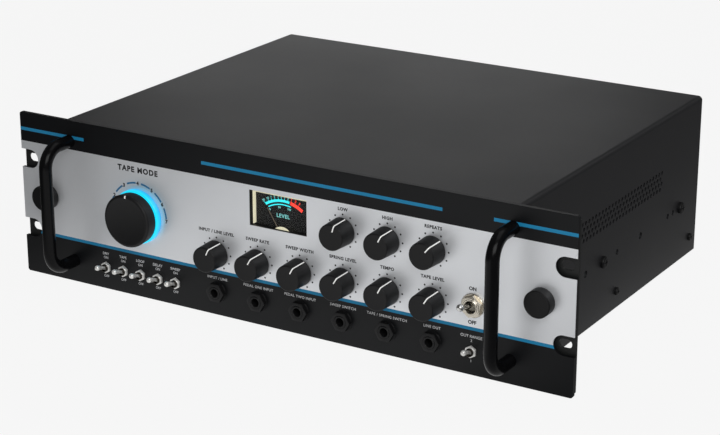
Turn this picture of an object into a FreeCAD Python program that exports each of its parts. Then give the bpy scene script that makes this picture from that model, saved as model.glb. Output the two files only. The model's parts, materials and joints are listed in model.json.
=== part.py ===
import FreeCAD, Part
import math
import os

# Tape echo unit: a 3U drawer with the tape machine in it, which slides in a sheet-steel sleeve
# that is bolted to a 19 inch rack by its ears. Millimetres. X runs along the front, Y from the
# front to the back and Z up. The origin is the middle of the four rack slots, on the rear face
# of the ears, where they land on the rack rails. Heights are from the panel's middle.

V = FreeCAD.Vector

# ------------------------------------------------------------------ rack ears
EAR_T = 2.0
EAR_REACH = 42.8
EAR_DROP = 4.0
EAR_INSET = 0.6
EAR_LEG = 32.0
EAR_BEND_R = 3.0
EAR_MITRE_Y = 5.0
EAR_MITRE_DROP = 14.2
SLOT_EDGE = 8.75
SLOT_SPACING_Z = 57.15
SLOT_LENGTH = 10.0
SLOT_WIDTH = 7.0
EAR_SCREW_SPACING = 40.0

# ------------------------------------------------------------------ front panel
PANEL_W = 482.6
PANEL_H = 132.5
PANEL_T = 3.0
PANEL_CORNER_R = 2.0
PANEL_GAP = 1.2
NOTCH_H = 15.0
NOTCH_DEPTH = 16.2

# ------------------------------------------------------------------ sleeve
CASE_D = 312.0
CASE_FRONT_GAP = 0.2
CASE_RISE = 2.45
CASE_DROP = 0.05
CASE_T = 1.5
CASE_BEND_R = 3.5
CHASSIS_FLANGE = 20.0
FLANGE_RELIEF = 3.0
VENT_D = 3.5
VENT_PITCH = 5.75
VENT_ROW_PITCH = 4.37
VENT_ROWS = 4
VENT_COLUMNS = 32
VENT_DROP = 43.8
VENT_REAR_GAP = 75.7
REAR_SLOT_L = 34.0
REAR_SLOT_W = 3.2
REAR_SLOT_PITCH = 7.0
REAR_SLOT_COUNT = 7
REAR_SLOT_COLUMNS = 4
REAR_SLOT_COLUMN_PITCH = 46.0
REAR_SLOT_DROP = 20.2

# ------------------------------------------------------------------ telescopic slides
SLIDE_GAP = 3.05
SLIDE_H = 45.4
SLIDE_W = 12.7
SLIDE_RACE = 9.5
SLIDE_SHEET = 1.2
SLIDE_LIP = 4.5
SLIDE_CLEAR = 0.3
SLIDE_FRONT_Y = 8.0
SLIDE_REAR_GAP = 12.5
SIDE_HOLE_D = 4.6
SIDE_HOLE_WIDE_D = 5.6
SIDE_HOLE_FRONT_YS = (101.1, 156.2, 199.1)
SIDE_HOLE_REAR_GAPS = (59.9, 49.7)

# ------------------------------------------------------------------ side screws
SLIDE_SCREW_FRONT_YS = (46.0, 130.8)
SLIDE_SCREW_REAR_GAP = 35.1
SLIDE_SCREW_HEAD_D = 9.2
SLIDE_SCREW_HEAD_T = 2.8
SLIDE_SCREW_D = 4.0
CASE_SCREW_FRONT_YS = (46.0, 157.1)
CASE_SCREW_REAR_GAP = 12.2
CASE_SCREW_RISE = 14.0
CASE_SCREW_HEAD_D = 6.0
CASE_SCREW_HEAD_T = 2.1
CASE_SCREW_D = 3.0
SCREW_CLEAR = 0.2
RECESS_W = 0.9
RECESS_DEPTH = 0.9

# ------------------------------------------------------------------ drawer tray
TRAY_T = 1.5
TRAY_BEND_R = 2.5
TRAY_LIFT = 2.0
TRAY_TOP_ROOM = 10.7
TRAY_REAR_ROOM = 10.5
FLANGE_CLEAR = 0.6
FLANGE_MARGIN = 6.75

# ------------------------------------------------------------------ handles
HANDLE_IN = 6.0
HANDLE_D = 10.0
HANDLE_REACH = 29.8
HANDLE_DROP = 16.75
HANDLE_RISE = 17.65
HANDLE_BEND_R = 15.75
HANDLE_SCREW_D = 5.0
HANDLE_SCREW_HEAD_D = 8.4
HANDLE_SCREW_HEAD_T = 2.6
HANDLE_SCREW_L = 16.0

# ------------------------------------------------------------------ thumb screws
THUMB_OUT = 17.5
THUMB_RISE = 67.05
THUMB_D = 20.2
THUMB_L = 8.6
THUMB_EDGE_R = 0.8
THUMB_SHANK_D = 5.0
THUMB_REACH = 6.0
THREAD_CLEAR = 0.08
NUT_WALL = 3.0
NUT_L = 5.0
SEAT_GAP = 0.3

# ------------------------------------------------------------------ small knobs and potentiometers
KNOB_COLUMN_COUNT = 6
KNOB_LEFT_IN = 127.5
KNOB_RIGHT_IN = 52.6
KNOB_LOW_RISE = 49.6
KNOB_HIGH_RISE = 88.0
KNOB_D = 20.0
KNOB_L = 16.4
KNOB_FLARE = 0.6
KNOB_EDGE_R = 0.9
KNOB_GAP = 0.8
KNOB_RECESS_D = 14.4
KNOB_CAP = 3.0
SHAFT_D = 6.0
SHAFT_CLEAR = 0.05
POT_D = 16.0
POT_DEPTH = 7.0
POT_BUSH_D = 7.0
POT_BUSH_OUT = 4.0
POT_NUT_AF = 10.0
POT_NUT_T = 2.0
POT_BACK_WALL = 0.4
GROOVE_W = 1.1
GROOVE_DEPTH = 0.4
POINTER_START = 0.42
RUN_GAP = 0.5

# ------------------------------------------------------------------ mode knob, its switch and light ring
MODE_IN = 55.1
MODE_RISE = 66.4
MODE_KNOB_D = 41.8
MODE_KNOB_L = 11.1
MODE_KNOB_TAPER = 0.7
MODE_KNOB_GAP = 0.5
MODE_EDGE_R = 2.0
MODE_RECESS_D = 22.0
MODE_TICK_L = 0.6
RING_D = 43.0
RING_BORE = 28.0
RING_T = 4.8
MODE_BODY_D = 30.0
MODE_BODY_DEPTH = 16.0
MODE_BUSH_D = 10.0
MODE_BUSH_OUT = 8.0
MODE_NUT_AF = 14.0
MODE_NUT_T = 2.5
MODE_BACK_WALL = 0.8

# ------------------------------------------------------------------ level meter
METER_X = 0.2
METER_W = 50.0
METER_H = 27.6
METER_WALL = 1.5
METER_MARGIN = 1.5
METER_POT_GAP = 4.3
METER_DEPTH = 24.0
METER_PANE_T = 1.2
DIAL_DEPTH = 4.6
DIAL_T = 0.8
NEEDLE_SHIFT = 0.1
NEEDLE_ROOM = 8.1
NEEDLE_DROP = 21.7
NEEDLE_L = 25.5
NEEDLE_W = 0.55
NEEDLE_T = 0.4
NEEDLE_REST_DEG = -32.0
NEEDLE_HUB_D = 5.0
NEEDLE_PIVOT_D = 1.6
COVER_D = 18.4
COVER_T = 1.0
COVER_FOOT_H = 3.5
MOVEMENT_W = 26.0
MOVEMENT_H = 12.0
MOVEMENT_DEPTH = 12.0

# ------------------------------------------------------------------ jack sockets
JACK_RISE = 19.0
JACK_BORE_D = 6.5
JACK_BUSH_D = 9.4
JACK_OUT = 5.0
JACK_BODY_W = 14.5
JACK_BODY_H = 13.0
JACK_BODY_DEPTH = 26.0
JACK_END_WALL = 2.0
JACK_NUT_AF = 13.8
JACK_NUT_T = 3.8
JACK_WASHER_D = 15.4
JACK_WASHER_T = 0.8
NUT_CLEAR = 0.1

# ------------------------------------------------------------------ toggle switches
TOGGLE_IN = 21.4
TOGGLE_PITCH = 16.7
TOGGLE_COUNT = 5
LEVEL_IN = 20.9
TOGGLE_RISE = 17.85
TOGGLE_BUSH_D = 6.0
TOGGLE_BORE_D = 4.4
TOGGLE_OUT = 4.0
TOGGLE_PIVOT_OUT = 1.5
TOGGLE_ROD_D = 2.6
TOGGLE_TIP_D = 4.2
TOGGLE_TIP_L = 6.6
TOGGLE_LEVER_L = 12.2
TOGGLE_TILT_DEG = 16.0
TOGGLE_BODY_W = 8.0
TOGGLE_BODY_H = 13.0
TOGGLE_BODY_DEPTH = 10.0
TOGGLE_NUT_AF = 8.0
TOGGLE_NUT_T = 1.8
POWER_IN = 20.1
POWER_RISE = 52.7
POWER_BUSH_D = 11.8
POWER_BORE_D = 9.0
POWER_OUT = 5.0
POWER_PIVOT_OUT = 0.6
POWER_ROD_D = 3.2
POWER_TIP_D = 5.4
POWER_TIP_L = 5.4
POWER_LEVER_L = 21.3
POWER_TILT_DEG = 14.3
POWER_BODY_W = 15.0
POWER_BODY_H = 28.0
POWER_BODY_DEPTH = 18.0
POWER_NUT_AF = 14.5
POWER_NUT_T = 3.0
POWER_WASHER_D = 18.0
POWER_WASHER_T = 1.2
BALL_GAP = 0.3

# ------------------------------------------------------------------ tape deck
DECK_RISE = 68.8
DECK_T = 2.5
DECK_FRONT_ROOM = 44.0
DECK_REAR_GAP = 16.0
DECK_FLANGE = 14.0
TANK_T = 1.2
TANK_WALL_H = 13.0
TANK_LEFT_IN = 17.8
TANK_RIGHT_GAP = 109.0
TANK_FRONT_ROOM = 30.0
TANK_REAR_GAP = 12.0
TANK_CORNER_R = 12.0
COVER_PLATE_T = 2.0
TAPE_W = 6.35
TAPE_T = 0.25
TAPE_LINE_Y = 90.0
TAPE_RIGHT_IN = 14.8
TAPE_LOOP_DEPTH = 60.0
TAPE_GAP = 0.3
FOLD_COUNT = 4
FOLD_R = 6.0
TANK_MARGIN = 9.0
GUIDE_D = 9.0
GUIDE_FLANGE_T = 1.0
HEAD_W = 11.0
HEAD_D = 13.0
HEAD_H = 14.0
HEAD_FIRST_GAP = 89.0
HEAD_PITCH = 15.5
HEAD_COUNT = 5
HEAD_NOSE_R = 5.0
CAPSTAN_IN = 37.8
CAPSTAN_D = 6.0
CAPSTAN_TOP = 22.0
CAPSTAN_EDGE_R = 0.5
BEARING_D = 14.0
BEARING_L = 12.0
BEARING_FLANGE_D = 26.0
BEARING_FLANGE_T = 2.0
FLYWHEEL_D = 64.0
FLYWHEEL_T = 12.0
FLYWHEEL_GAP = 0.8
FLYWHEEL_EDGE_R = 1.0
STRAP_W = 14.0
STRAP_T = 2.0
STRAP_CLEAR = 2.7
ROLLER_D = 20.0
ROLLER_H = 12.0
ROLLER_PIN_D = 3.0
ARM_PIVOT_GAP = 25.0
ARM_PIVOT_BACK = 28.0
ARM_W = 9.0
ARM_T = 3.0
ARM_PIVOT_D = 5.0
ARM_SHOULDER_D = 8.0
ARM_BUSH_L = 8.0
ARM_BUSH_WALL = 3.0
ARM_RELEASE_DEG = 12.0
CLIP_D = 6.0
CLIP_T = 0.8
PULLEY_CENTRE_GAP = 90.0
MOTOR_D = 42.0
MOTOR_H = 34.0
MOTOR_BOSS_D = 12.0
MOTOR_BOSS_T = 3.0
MOTOR_EDGE_R = 2.0
MOTOR_SHAFT_D = 3.0
PULLEY_D = 14.0
PULLEY_FLANGE = 1.5
BELT_T = 1.0
BELT_W = 5.0
BELT_GAP = 0.3

# ------------------------------------------------------------------ electronics
BOARD_T = 1.6
CONTROL_BOARD_MARGIN = 20.0
CONTROL_BOARD_LOW_H = 23.0
MAIN_BOARD_LEFT_IN = 12.8
MAIN_BOARD_MOTOR_GAP = 12.0
MAIN_BOARD_FRONT_Y = 52.0
MAIN_BOARD_REAR_GAP = 11.5
SPACER_H = 5.0
SPACER_D = 6.0
SPACER_INSET = 8.0
CAP_D = 12.5
CAP_H = 22.0
CAP_COUNT = 5
TRANSFORMER_SIDE_GAP = 14.0
TRANSFORMER_INLET_GAP = 12.0
TRANSFORMER_D = 76.0
TRANSFORMER_H = 34.0
TRANSFORMER_PLATE_D = 50.0
TRANSFORMER_PLATE_T = 1.5
TANKBOX_LEFT_GAP = 33.3
TANKBOX_RIGHT_GAP = 7.3
TANKBOX_D = 111.0
TANKBOX_H = 33.0
TANKBOX_T = 1.2
TANKBOX_REAR_GAP = 4.0
SPRING_COUNT = 3
SPRING_D = 4.5
SPRING_PITCH = 22.0
SPRING_BLOCK = 16.0

# ------------------------------------------------------------------ mains inlet
INLET_IN = 52.8
INLET_RISE = 41.8
INLET_W = 28.0
INLET_H = 20.0
INLET_DEPTH = 18.0
INLET_MOUTH_W = 24.4
INLET_MOUTH_H = 16.4
INLET_MOUTH_DEPTH = 16.0
INLET_FLANGE_W = 50.0
INLET_FLANGE_H = 24.0
INLET_FLANGE_T = 2.5
INLET_PIN_W = 2.0
INLET_PIN_H = 4.0
INLET_PIN_SPACING = 7.0
INLET_PIN_RISE = 2.0
INLET_PIN_SET = 5.0
WINDOW_MARGIN = 5.0

# ------------------------------------------------------------------ places that follow
# heights: from the panel's edges outwards and inwards
PANEL_TOP = PANEL_H / 2
PANEL_BOTTOM = -PANEL_H / 2
CASE_TOP = PANEL_TOP - CASE_DROP
CASE_BOTTOM = PANEL_BOTTOM + CASE_RISE
CASE_UNDER = CASE_TOP - CASE_T
VENT_TOP_Z = CASE_TOP - VENT_DROP
REAR_SLOT_TOP_Z = CASE_TOP - REAR_SLOT_DROP
SLIDE_Z = CASE_BOTTOM + CHASSIS_FLANGE + SLIDE_GAP + SLIDE_H / 2
TRAY_BOTTOM = CASE_BOTTOM + CASE_T + TRAY_LIFT
TRAY_FLOOR = TRAY_BOTTOM + TRAY_T
TRAY_TOP_Z = CASE_UNDER - TRAY_TOP_ROOM
HANDLE_TOP_Z = PANEL_TOP - HANDLE_DROP
HANDLE_LOW_Z = PANEL_BOTTOM + HANDLE_RISE
KNOB_LOW_Z = PANEL_BOTTOM + KNOB_LOW_RISE
KNOB_HIGH_Z = PANEL_BOTTOM + KNOB_HIGH_RISE
MODE_Z = PANEL_BOTTOM + MODE_RISE
JACK_Z = PANEL_BOTTOM + JACK_RISE
TOGGLE_Z = PANEL_BOTTOM + TOGGLE_RISE
POWER_Z = PANEL_BOTTOM + POWER_RISE
METER_BOTTOM = KNOB_LOW_Z + POT_D / 2 + METER_POT_GAP
NEEDLE_Z = METER_BOTTOM + NEEDLE_ROOM
METER_Z = NEEDLE_Z + NEEDLE_DROP
DECK_TOP_Z = TRAY_FLOOR + DECK_RISE
DECK_UNDER = DECK_TOP_Z - DECK_T
TAPE_Z = DECK_TOP_Z + TANK_T + TAPE_GAP
FLYWHEEL_TOP = DECK_UNDER - BEARING_L - FLYWHEEL_GAP
FLYWHEEL_MID = FLYWHEEL_TOP - FLYWHEEL_T / 2
INLET_Z = CASE_BOTTOM + INLET_RISE
# widths: the rack's width, then the sleeve, the slides and the tray inside each other
SLOT_SPACING_X = PANEL_W - 2 * SLOT_EDGE
CASE_SIDE = PANEL_W / 2 - EAR_REACH
CASE_INSIDE = CASE_SIDE - CASE_T
DRAWER_SIDE = CASE_INSIDE - SLIDE_W
DRAWER_INSIDE = DRAWER_SIDE - TRAY_T
THUMB_X = CASE_SIDE + THUMB_OUT
THUMB_Z = PANEL_BOTTOM + THUMB_RISE
HANDLE_X = CASE_SIDE - HANDLE_IN
POWER_X = DRAWER_INSIDE - POWER_IN
LEVEL_X = DRAWER_INSIDE - LEVEL_IN
TOGGLE_FIRST_X = TOGGLE_IN - DRAWER_INSIDE
MODE_X = MODE_IN - DRAWER_INSIDE
KNOB_FIRST_X = KNOB_LEFT_IN - DRAWER_INSIDE
KNOB_LAST_X = DRAWER_INSIDE - KNOB_RIGHT_IN
KNOB_PITCH = (KNOB_LAST_X - KNOB_FIRST_X) / (KNOB_COLUMN_COUNT - 1)
KNOB_COLUMNS = [KNOB_FIRST_X + KNOB_PITCH * i for i in range(KNOB_COLUMN_COUNT)]
NEEDLE_X = METER_X + NEEDLE_SHIFT
CAPSTAN_X = DRAWER_INSIDE - CAPSTAN_IN
MOTOR_X = CAPSTAN_X - PULLEY_CENTRE_GAP
ARM_PIVOT_X = CAPSTAN_X - ARM_PIVOT_GAP
HEAD_FIRST_X = CAPSTAN_X - HEAD_FIRST_GAP
TAPE_RIGHT_X = DRAWER_INSIDE - TAPE_RIGHT_IN
TANK_LEFT_X = TANK_LEFT_IN - DRAWER_INSIDE
TANK_RIGHT_X = CAPSTAN_X - TANK_RIGHT_GAP
TRANSFORMER_X = TRANSFORMER_SIDE_GAP + TRANSFORMER_D / 2 - DRAWER_INSIDE
INLET_X = INLET_IN - DRAWER_INSIDE
# depths: from the ears' rear face
PANEL_BACK = -EAR_T - PANEL_GAP
PANEL_FRONT = PANEL_BACK - PANEL_T
CASE_FRONT_Y = PANEL_BACK + CASE_FRONT_GAP
TRAY_REAR = CASE_D - CASE_T - TRAY_REAR_ROOM
SLIDE_REAR_Y = CASE_D - CASE_T - SLIDE_REAR_GAP
SLIDE_SCREW_YS = SLIDE_SCREW_FRONT_YS + (CASE_D - SLIDE_SCREW_REAR_GAP,)
CASE_SCREW_YS = CASE_SCREW_FRONT_YS + (CASE_D - CASE_SCREW_REAR_GAP,)
SIDE_HOLE_YS = SIDE_HOLE_FRONT_YS + tuple(CASE_D - gap for gap in SIDE_HOLE_REAR_GAPS)
VENT_LAST_Y = CASE_D - VENT_REAR_GAP
CAPSTAN_Y = TAPE_LINE_Y - TAPE_T / 2 - TAPE_GAP - CAPSTAN_D / 2
ARM_PIVOT_Y = TAPE_LINE_Y + ARM_PIVOT_BACK
TAPE_RETURN_Y = TAPE_LINE_Y + TAPE_LOOP_DEPTH
DECK_FRONT_Y = TAPE_LINE_Y - DECK_FRONT_ROOM
DECK_REAR_Y = TRAY_REAR - DECK_REAR_GAP
TANK_FRONT_Y = TAPE_LINE_Y - TANK_FRONT_ROOM
TANK_REAR_Y = DECK_REAR_Y - TANK_REAR_GAP
STRAP_REACH = FLYWHEEL_D / 2 + BELT_GAP + BELT_T + STRAP_CLEAR + STRAP_T
TANKBOX_REAR_Y = TRAY_REAR - TRAY_T - TANKBOX_REAR_GAP
TANKBOX_FRONT_Y = TANKBOX_REAR_Y - TANKBOX_D
TRANSFORMER_Y = TRAY_REAR - INLET_DEPTH - TRANSFORMER_INLET_GAP - TRANSFORMER_D / 2
# rest angle of each pointer, degrees clockwise from straight up
LOW_POINTERS = (27.0, 31.0, 30.0, 32.0, 28.0, 33.0)
HIGH_POINTERS = (19.0, 29.0, 40.0)


# ================================================================== drawing helpers
def at(plane, u, v, w):
    """Point of a plane: xy looks down Z, xz looks along Y, yz looks along X."""
    if plane == "xy":
        return V(u, v, w)
    if plane == "xz":
        return V(u, w, v)
    return V(w, u, v)


def outline(plane, corners, level):
    """Closed wire through corners (u, v) or (u, v, radius), with rounded corners as arcs."""
    count = len(corners)
    places = [at(plane, c[0], c[1], level) for c in corners]
    radii = [c[2] if len(c) > 2 else 0.0 for c in corners]
    rounds = []
    for i, here in enumerate(places):
        before = (places[i - 1] - here).normalize()
        after = (places[(i + 1) % count] - here).normalize()
        half = before.getAngle(after) / 2
        reach = radii[i] / math.tan(half) if radii[i] else 0.0
        middle = (before + after).normalize() if radii[i] else V()
        bulge = middle * (radii[i] / math.sin(half) - radii[i]) if radii[i] else V()
        rounds.append((here + before * reach, here + bulge, here + after * reach))
    edges = []
    for i, (start, top, end) in enumerate(rounds):
        if radii[i]:
            edges.append(Part.Arc(start, top, end).toShape())
        following = rounds[(i + 1) % count][0]
        if end.distanceToPoint(following) > 1e-6:
            edges.append(Part.LineSegment(end, following).toShape())
    return Part.Wire(edges)


def along(plane):
    """The direction that a plane's shapes are extruded in."""
    return {"xy": V(0, 0, 1), "xz": V(0, 1, 0), "yz": V(1, 0, 0)}[plane]


def prism(plane, corners, low, high):
    face = Part.Face(outline(plane, corners, low))
    return face.extrude(along(plane) * (high - low))


def box(x0, x1, y0, y1, z0, z1):
    return Part.makeBox(x1 - x0, y1 - y0, z1 - z0, V(x0, y0, z0))


def disc(plane, u, v, diameter, low, high):
    return Part.makeCylinder(diameter / 2, high - low, at(plane, u, v, low), along(plane))


def ring(plane, u, v, outer, inner, low, high):
    return disc(plane, u, v, outer, low, high).cut(disc(plane, u, v, inner, low, high))


def slot(plane, u, v, length, width, low, high):
    """A slot whose round ends make up its length, along the plane's first direction."""
    a, b, r = length / 2, width / 2, width / 2
    corners = [(u - a, v - b, r), (u + a, v - b, r), (u + a, v + b, r), (u - a, v + b, r)]
    return prism(plane, corners, low, high)


def hexagon(plane, u, v, across_flats, low, high):
    r = across_flats / 2 / math.cos(math.pi / 6)
    turns = [math.pi / 3 * i for i in range(6)]
    return prism(plane, [(u + r * math.cos(a), v + r * math.sin(a)) for a in turns], low, high)


def turned(profile, base, direction):
    """Solid of revolution. profile holds (radius, height, corner radius) from its axis outwards."""
    wire = outline("xz", profile, 0.0)
    solid = Part.Face(wire).revolve(V(), V(0, 0, 1), 360)
    return placed(solid, base, direction)


def placed(solid, base, direction):
    """Turns a solid that points along +Z to point along a direction, and moves it to base."""
    solid = solid.copy()
    turn = FreeCAD.Rotation(V(0, 0, 1), V(*direction))
    solid.Placement = FreeCAD.Placement(V(*base), turn)
    return solid


def mirrored(shape):
    """The same shape on the other side of the unit."""
    return shape.mirror(V(), V(1, 0, 0))


def both_sides(shapes):
    return list(shapes) + [mirrored(s) for s in shapes]


def cut_all(solid, tools):
    return solid.cut(Part.makeCompound(tools))


def fused(shapes):
    first, rest = shapes[0], shapes[1:]
    return first.fuse(rest).removeSplitter() if rest else first


def save(node, *shapes):
    """Writes one node. Each shape in it stays a solid of its own."""
    solids = [s for shape in shapes for s in shape.Solids]
    made = solids[0] if len(solids) == 1 else Part.makeCompound(solids)
    made.exportStep("parts/" + node + ".step")
    volume = sum(s.Volume for s in solids)
    print(f"{node:20s} {len(solids):3d} solids {volume / 1000:9.2f} cm3")


# ================================================================== fasteners
def pan_screw(base, direction, head_d, head_t, shank_d, shank_l):
    """Pan head screw with a cross recess. Its head's underside is at base, its head points out."""
    head_r, shank_r = head_d / 2, shank_d / 2
    dome = head_t * 0.45
    profile = [
        (0, -shank_l),
        (shank_r, -shank_l),
        (shank_r, 0),
        (head_r, 0),
        (head_r, head_t, dome),
        (0, head_t),
    ]
    solid = turned(profile, (0, 0, 0), (0, 0, 1))
    arm = head_r * 0.55
    top = head_t + 1
    floor = head_t - RECESS_DEPTH
    for a, b in ((arm, RECESS_W / 2), (RECESS_W / 2, arm)):
        solid = solid.cut(box(-a, a, -b, b, floor, top))
    return placed(solid, base, direction)


def side_screw(y, z, head_d, head_t, shank_d, grip):
    """A pan head screw in the sleeve's right side."""
    return pan_screw((CASE_SIDE, y, z), (1, 0, 0), head_d, head_t, shank_d, grip)


# ================================================================== sleeve
def side_hole(y, z, diameter):
    return disc("yz", y, z, diameter, CASE_INSIDE - CASE_BEND_R, CASE_SIDE + EAR_T)


def side_hole_d(y):
    """The first and third hole of the row are wide, the others narrow."""
    return SIDE_HOLE_WIDE_D if y in SIDE_HOLE_FRONT_YS[::2] else SIDE_HOLE_D


def vent_holes():
    holes = []
    for row in range(VENT_ROWS):
        shift = VENT_PITCH / 2 if row % 2 else 0.0
        z = VENT_TOP_Z - VENT_ROW_PITCH * row
        for column in range(VENT_COLUMNS):
            holes.append(side_hole(VENT_LAST_Y - shift - VENT_PITCH * column, z, VENT_D))
    return holes


def case_screw_z():
    return CASE_BOTTOM + CASE_SCREW_RISE


def ear_screw_zs():
    return (-EAR_SCREW_SPACING / 2, EAR_SCREW_SPACING / 2)


def sleeve_wrap():
    """Top and two sides, folded from one sheet."""
    s, i, r = CASE_SIDE, CASE_INSIDE, CASE_BEND_R
    top, bottom, under = CASE_TOP, CASE_BOTTOM, CASE_UNDER
    inner_r = r - CASE_T
    profile = [
        (-s, bottom),
        (-i, bottom),
        (-i, under, inner_r),
        (i, under, inner_r),
        (i, bottom),
        (s, bottom),
        (s, top, r),
        (-s, top, r),
    ]
    wrap = prism("xz", profile, CASE_FRONT_Y, CASE_D)
    holes = vent_holes()
    holes += [side_hole(y, SLIDE_Z, side_hole_d(y)) for y in SIDE_HOLE_YS]
    holes += [side_hole(y, SLIDE_Z, SLIDE_SCREW_D + 2 * SCREW_CLEAR) for y in SLIDE_SCREW_YS]
    holes += [side_hole(y, case_screw_z(), CASE_SCREW_D + 2 * SCREW_CLEAR) for y in CASE_SCREW_YS]
    holes += [side_hole(EAR_LEG / 2, z, CASE_SCREW_D + 2 * SCREW_CLEAR) for z in ear_screw_zs()]
    return cut_all(wrap, both_sides(holes))


def inlet_window(low, high, margin):
    w = INLET_FLANGE_W / 2 + margin
    h = INLET_FLANGE_H / 2 + margin
    return box(INLET_X - w, INLET_X + w, low, high, INLET_Z - h, INLET_Z + h)


def rear_slots():
    tools = []
    for row in range(REAR_SLOT_COUNT):
        z = REAR_SLOT_TOP_Z - REAR_SLOT_PITCH * row
        for column in range(REAR_SLOT_COLUMNS):
            x = REAR_SLOT_COLUMN_PITCH * (column - (REAR_SLOT_COLUMNS - 1) / 2)
            tools.append(slot("xz", x, z, REAR_SLOT_L, REAR_SLOT_W, CASE_D - 2 * CASE_T, CASE_D + 1))
    return tools


def sleeve_chassis():
    """Bottom with a low flange on each side, and the rear wall, folded from one sheet."""
    i, t, r = CASE_INSIDE, CASE_T, CASE_BEND_R
    rim = CASE_BOTTOM + CHASSIS_FLANGE
    profile = [
        (-i, CASE_BOTTOM, r),
        (i, CASE_BOTTOM, r),
        (i, rim),
        (i - t, rim),
        (i - t, CASE_BOTTOM + t, r - t),
        (t - i, CASE_BOTTOM + t, r - t),
        (t - i, rim),
        (-i, rim),
    ]
    bottom = prism("xz", profile, CASE_FRONT_Y, CASE_D - t)
    rear_profile = [
        (-i, CASE_BOTTOM, r),
        (i, CASE_BOTTOM, r),
        (i, CASE_TOP - t, r - t),
        (-i, CASE_TOP - t, r - t),
    ]
    rear = prism("xz", rear_profile, CASE_D - t, CASE_D)
    hole_d = CASE_SCREW_D + 2 * SCREW_CLEAR
    tools = both_sides([side_hole(y, case_screw_z(), hole_d) for y in CASE_SCREW_YS])
    # The front corner of each flange is cut away behind the tray's flange and its handle screw.
    corner = HANDLE_LOW_Z - FLANGE_MARGIN - 1
    tools += both_sides([box(i - t - 1, i + 1, CASE_FRONT_Y - 1, FLANGE_RELIEF, corner, rim + 1)])
    tools.append(inlet_window(CASE_D - 2 * t, CASE_D + 1, WINDOW_MARGIN))
    return cut_all(fused([bottom, rear]), tools + rear_slots())


def rack_ear():
    """Right ear: a bent plate, screwed to the sleeve's side, with two oblong rack holes."""
    side, edge = CASE_SIDE, PANEL_W / 2 - EAR_INSET
    profile = [
        (side, -EAR_T, EAR_BEND_R),
        (edge, -EAR_T),
        (edge, 0),
        (side + EAR_T, 0, EAR_BEND_R - EAR_T),
        (side + EAR_T, EAR_LEG),
        (side, EAR_LEG),
    ]
    ear = prism("xy", profile, CASE_BOTTOM, CASE_TOP - EAR_DROP)
    nut = disc("xz", THUMB_X, THUMB_Z, THUMB_SHANK_D + 2 * NUT_WALL, -EAR_T, NUT_L)
    tools = [disc("xz", THUMB_X, THUMB_Z, THUMB_SHANK_D + 2 * THREAD_CLEAR, -2 * EAR_T, 2 * NUT_L)]
    for z in (-SLOT_SPACING_Z / 2, SLOT_SPACING_Z / 2):
        tools.append(slot("xz", SLOT_SPACING_X / 2, z, SLOT_LENGTH, SLOT_WIDTH, -2 * EAR_T, EAR_T))
    hole_d = CASE_SCREW_D + 2 * SCREW_CLEAR
    tools += [side_hole(EAR_LEG / 2, z, hole_d) for z in ear_screw_zs()]
    # The two corners of the leg are cut off aslant.
    for end, way in ((CASE_TOP - EAR_DROP, 1), (CASE_BOTTOM, -1)):
        wedge = [
            (EAR_MITRE_Y, end),
            (EAR_LEG, end - way * EAR_MITRE_DROP),
            (EAR_LEG + 1, end - way * EAR_MITRE_DROP),
            (EAR_LEG + 1, end + way),
            (EAR_MITRE_Y, end + way),
        ]
        tools.append(prism("yz", wedge, side - 1, side + EAR_T + 1))
    return cut_all(fused([ear, nut]), tools)


def sleeve_screws():
    """Slide screws, bottom screws and ear screws of both sides."""
    right = []
    for y in SLIDE_SCREW_YS:
        grip = CASE_T + SLIDE_SHEET
        right.append(side_screw(y, SLIDE_Z, SLIDE_SCREW_HEAD_D, SLIDE_SCREW_HEAD_T, SLIDE_SCREW_D, grip))
    for y in CASE_SCREW_YS:
        z, grip = case_screw_z(), 2 * CASE_T + SCREW_CLEAR
        right.append(side_screw(y, z, CASE_SCREW_HEAD_D, CASE_SCREW_HEAD_T, CASE_SCREW_D, grip))
    for z in ear_screw_zs():
        base, grip = (CASE_SIDE + EAR_T, EAR_LEG / 2, z), EAR_T + CASE_T
        head = (CASE_SCREW_HEAD_D, CASE_SCREW_HEAD_T)
        right.append(pan_screw(base, (1, 0, 0), *head, CASE_SCREW_D, grip))
    return both_sides(right)


# ================================================================== slides
def lipped_channel(start, depth, half):
    """Channel with its back at start and lips at its mouth. Distances are from the sleeve's side."""
    t, lip, end = SLIDE_SHEET, SLIDE_LIP, start + depth
    upper = [(end, half), (end, half - lip), (end - t, half - lip), (end - t, half - t)]
    upper += [(start + t, half - t)]
    lower = [(a, -z) for a, z in reversed(upper)]
    return [(start, half)] + upper + lower + [(start, -half)]


def slide_member(corners):
    """A right slide member from its section."""
    section = [(CASE_INSIDE - a, SLIDE_Z + z) for a, z in corners]
    return prism("xz", section, SLIDE_FRONT_Y, SLIDE_REAR_Y)


def slide_outer():
    member = slide_member(lipped_channel(0, SLIDE_RACE, SLIDE_H / 2))
    hole_d = SLIDE_SCREW_D + 2 * SCREW_CLEAR
    return cut_all(member, [side_hole(y, SLIDE_Z, hole_d) for y in SLIDE_SCREW_YS])


def slide_middle():
    step = SLIDE_SHEET + SLIDE_CLEAR
    return slide_member(lipped_channel(step, SLIDE_RACE - 2 * step, SLIDE_H / 2 - step))


def slide_inner():
    """Hat section: its feet run in the middle member, its crown is fixed to the tray."""
    t, step = SLIDE_SHEET, SLIDE_SHEET + SLIDE_CLEAR
    foot = SLIDE_H / 2 - 2 * step
    leg = SLIDE_H / 2 - step - SLIDE_LIP - t
    near, crown = 2 * step, SLIDE_W
    upper = [(near, foot), (near + t, foot), (near + t, leg), (crown, leg)]
    lower = [(a, -z) for a, z in reversed(upper)]
    inside = [(near, t - leg), (crown - t, t - leg), (crown - t, leg - t), (near, leg - t)]
    return slide_member(upper + lower + inside)


# ================================================================== drawer
def handle_screw_zs():
    return (HANDLE_TOP_Z, HANDLE_LOW_Z)


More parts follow.
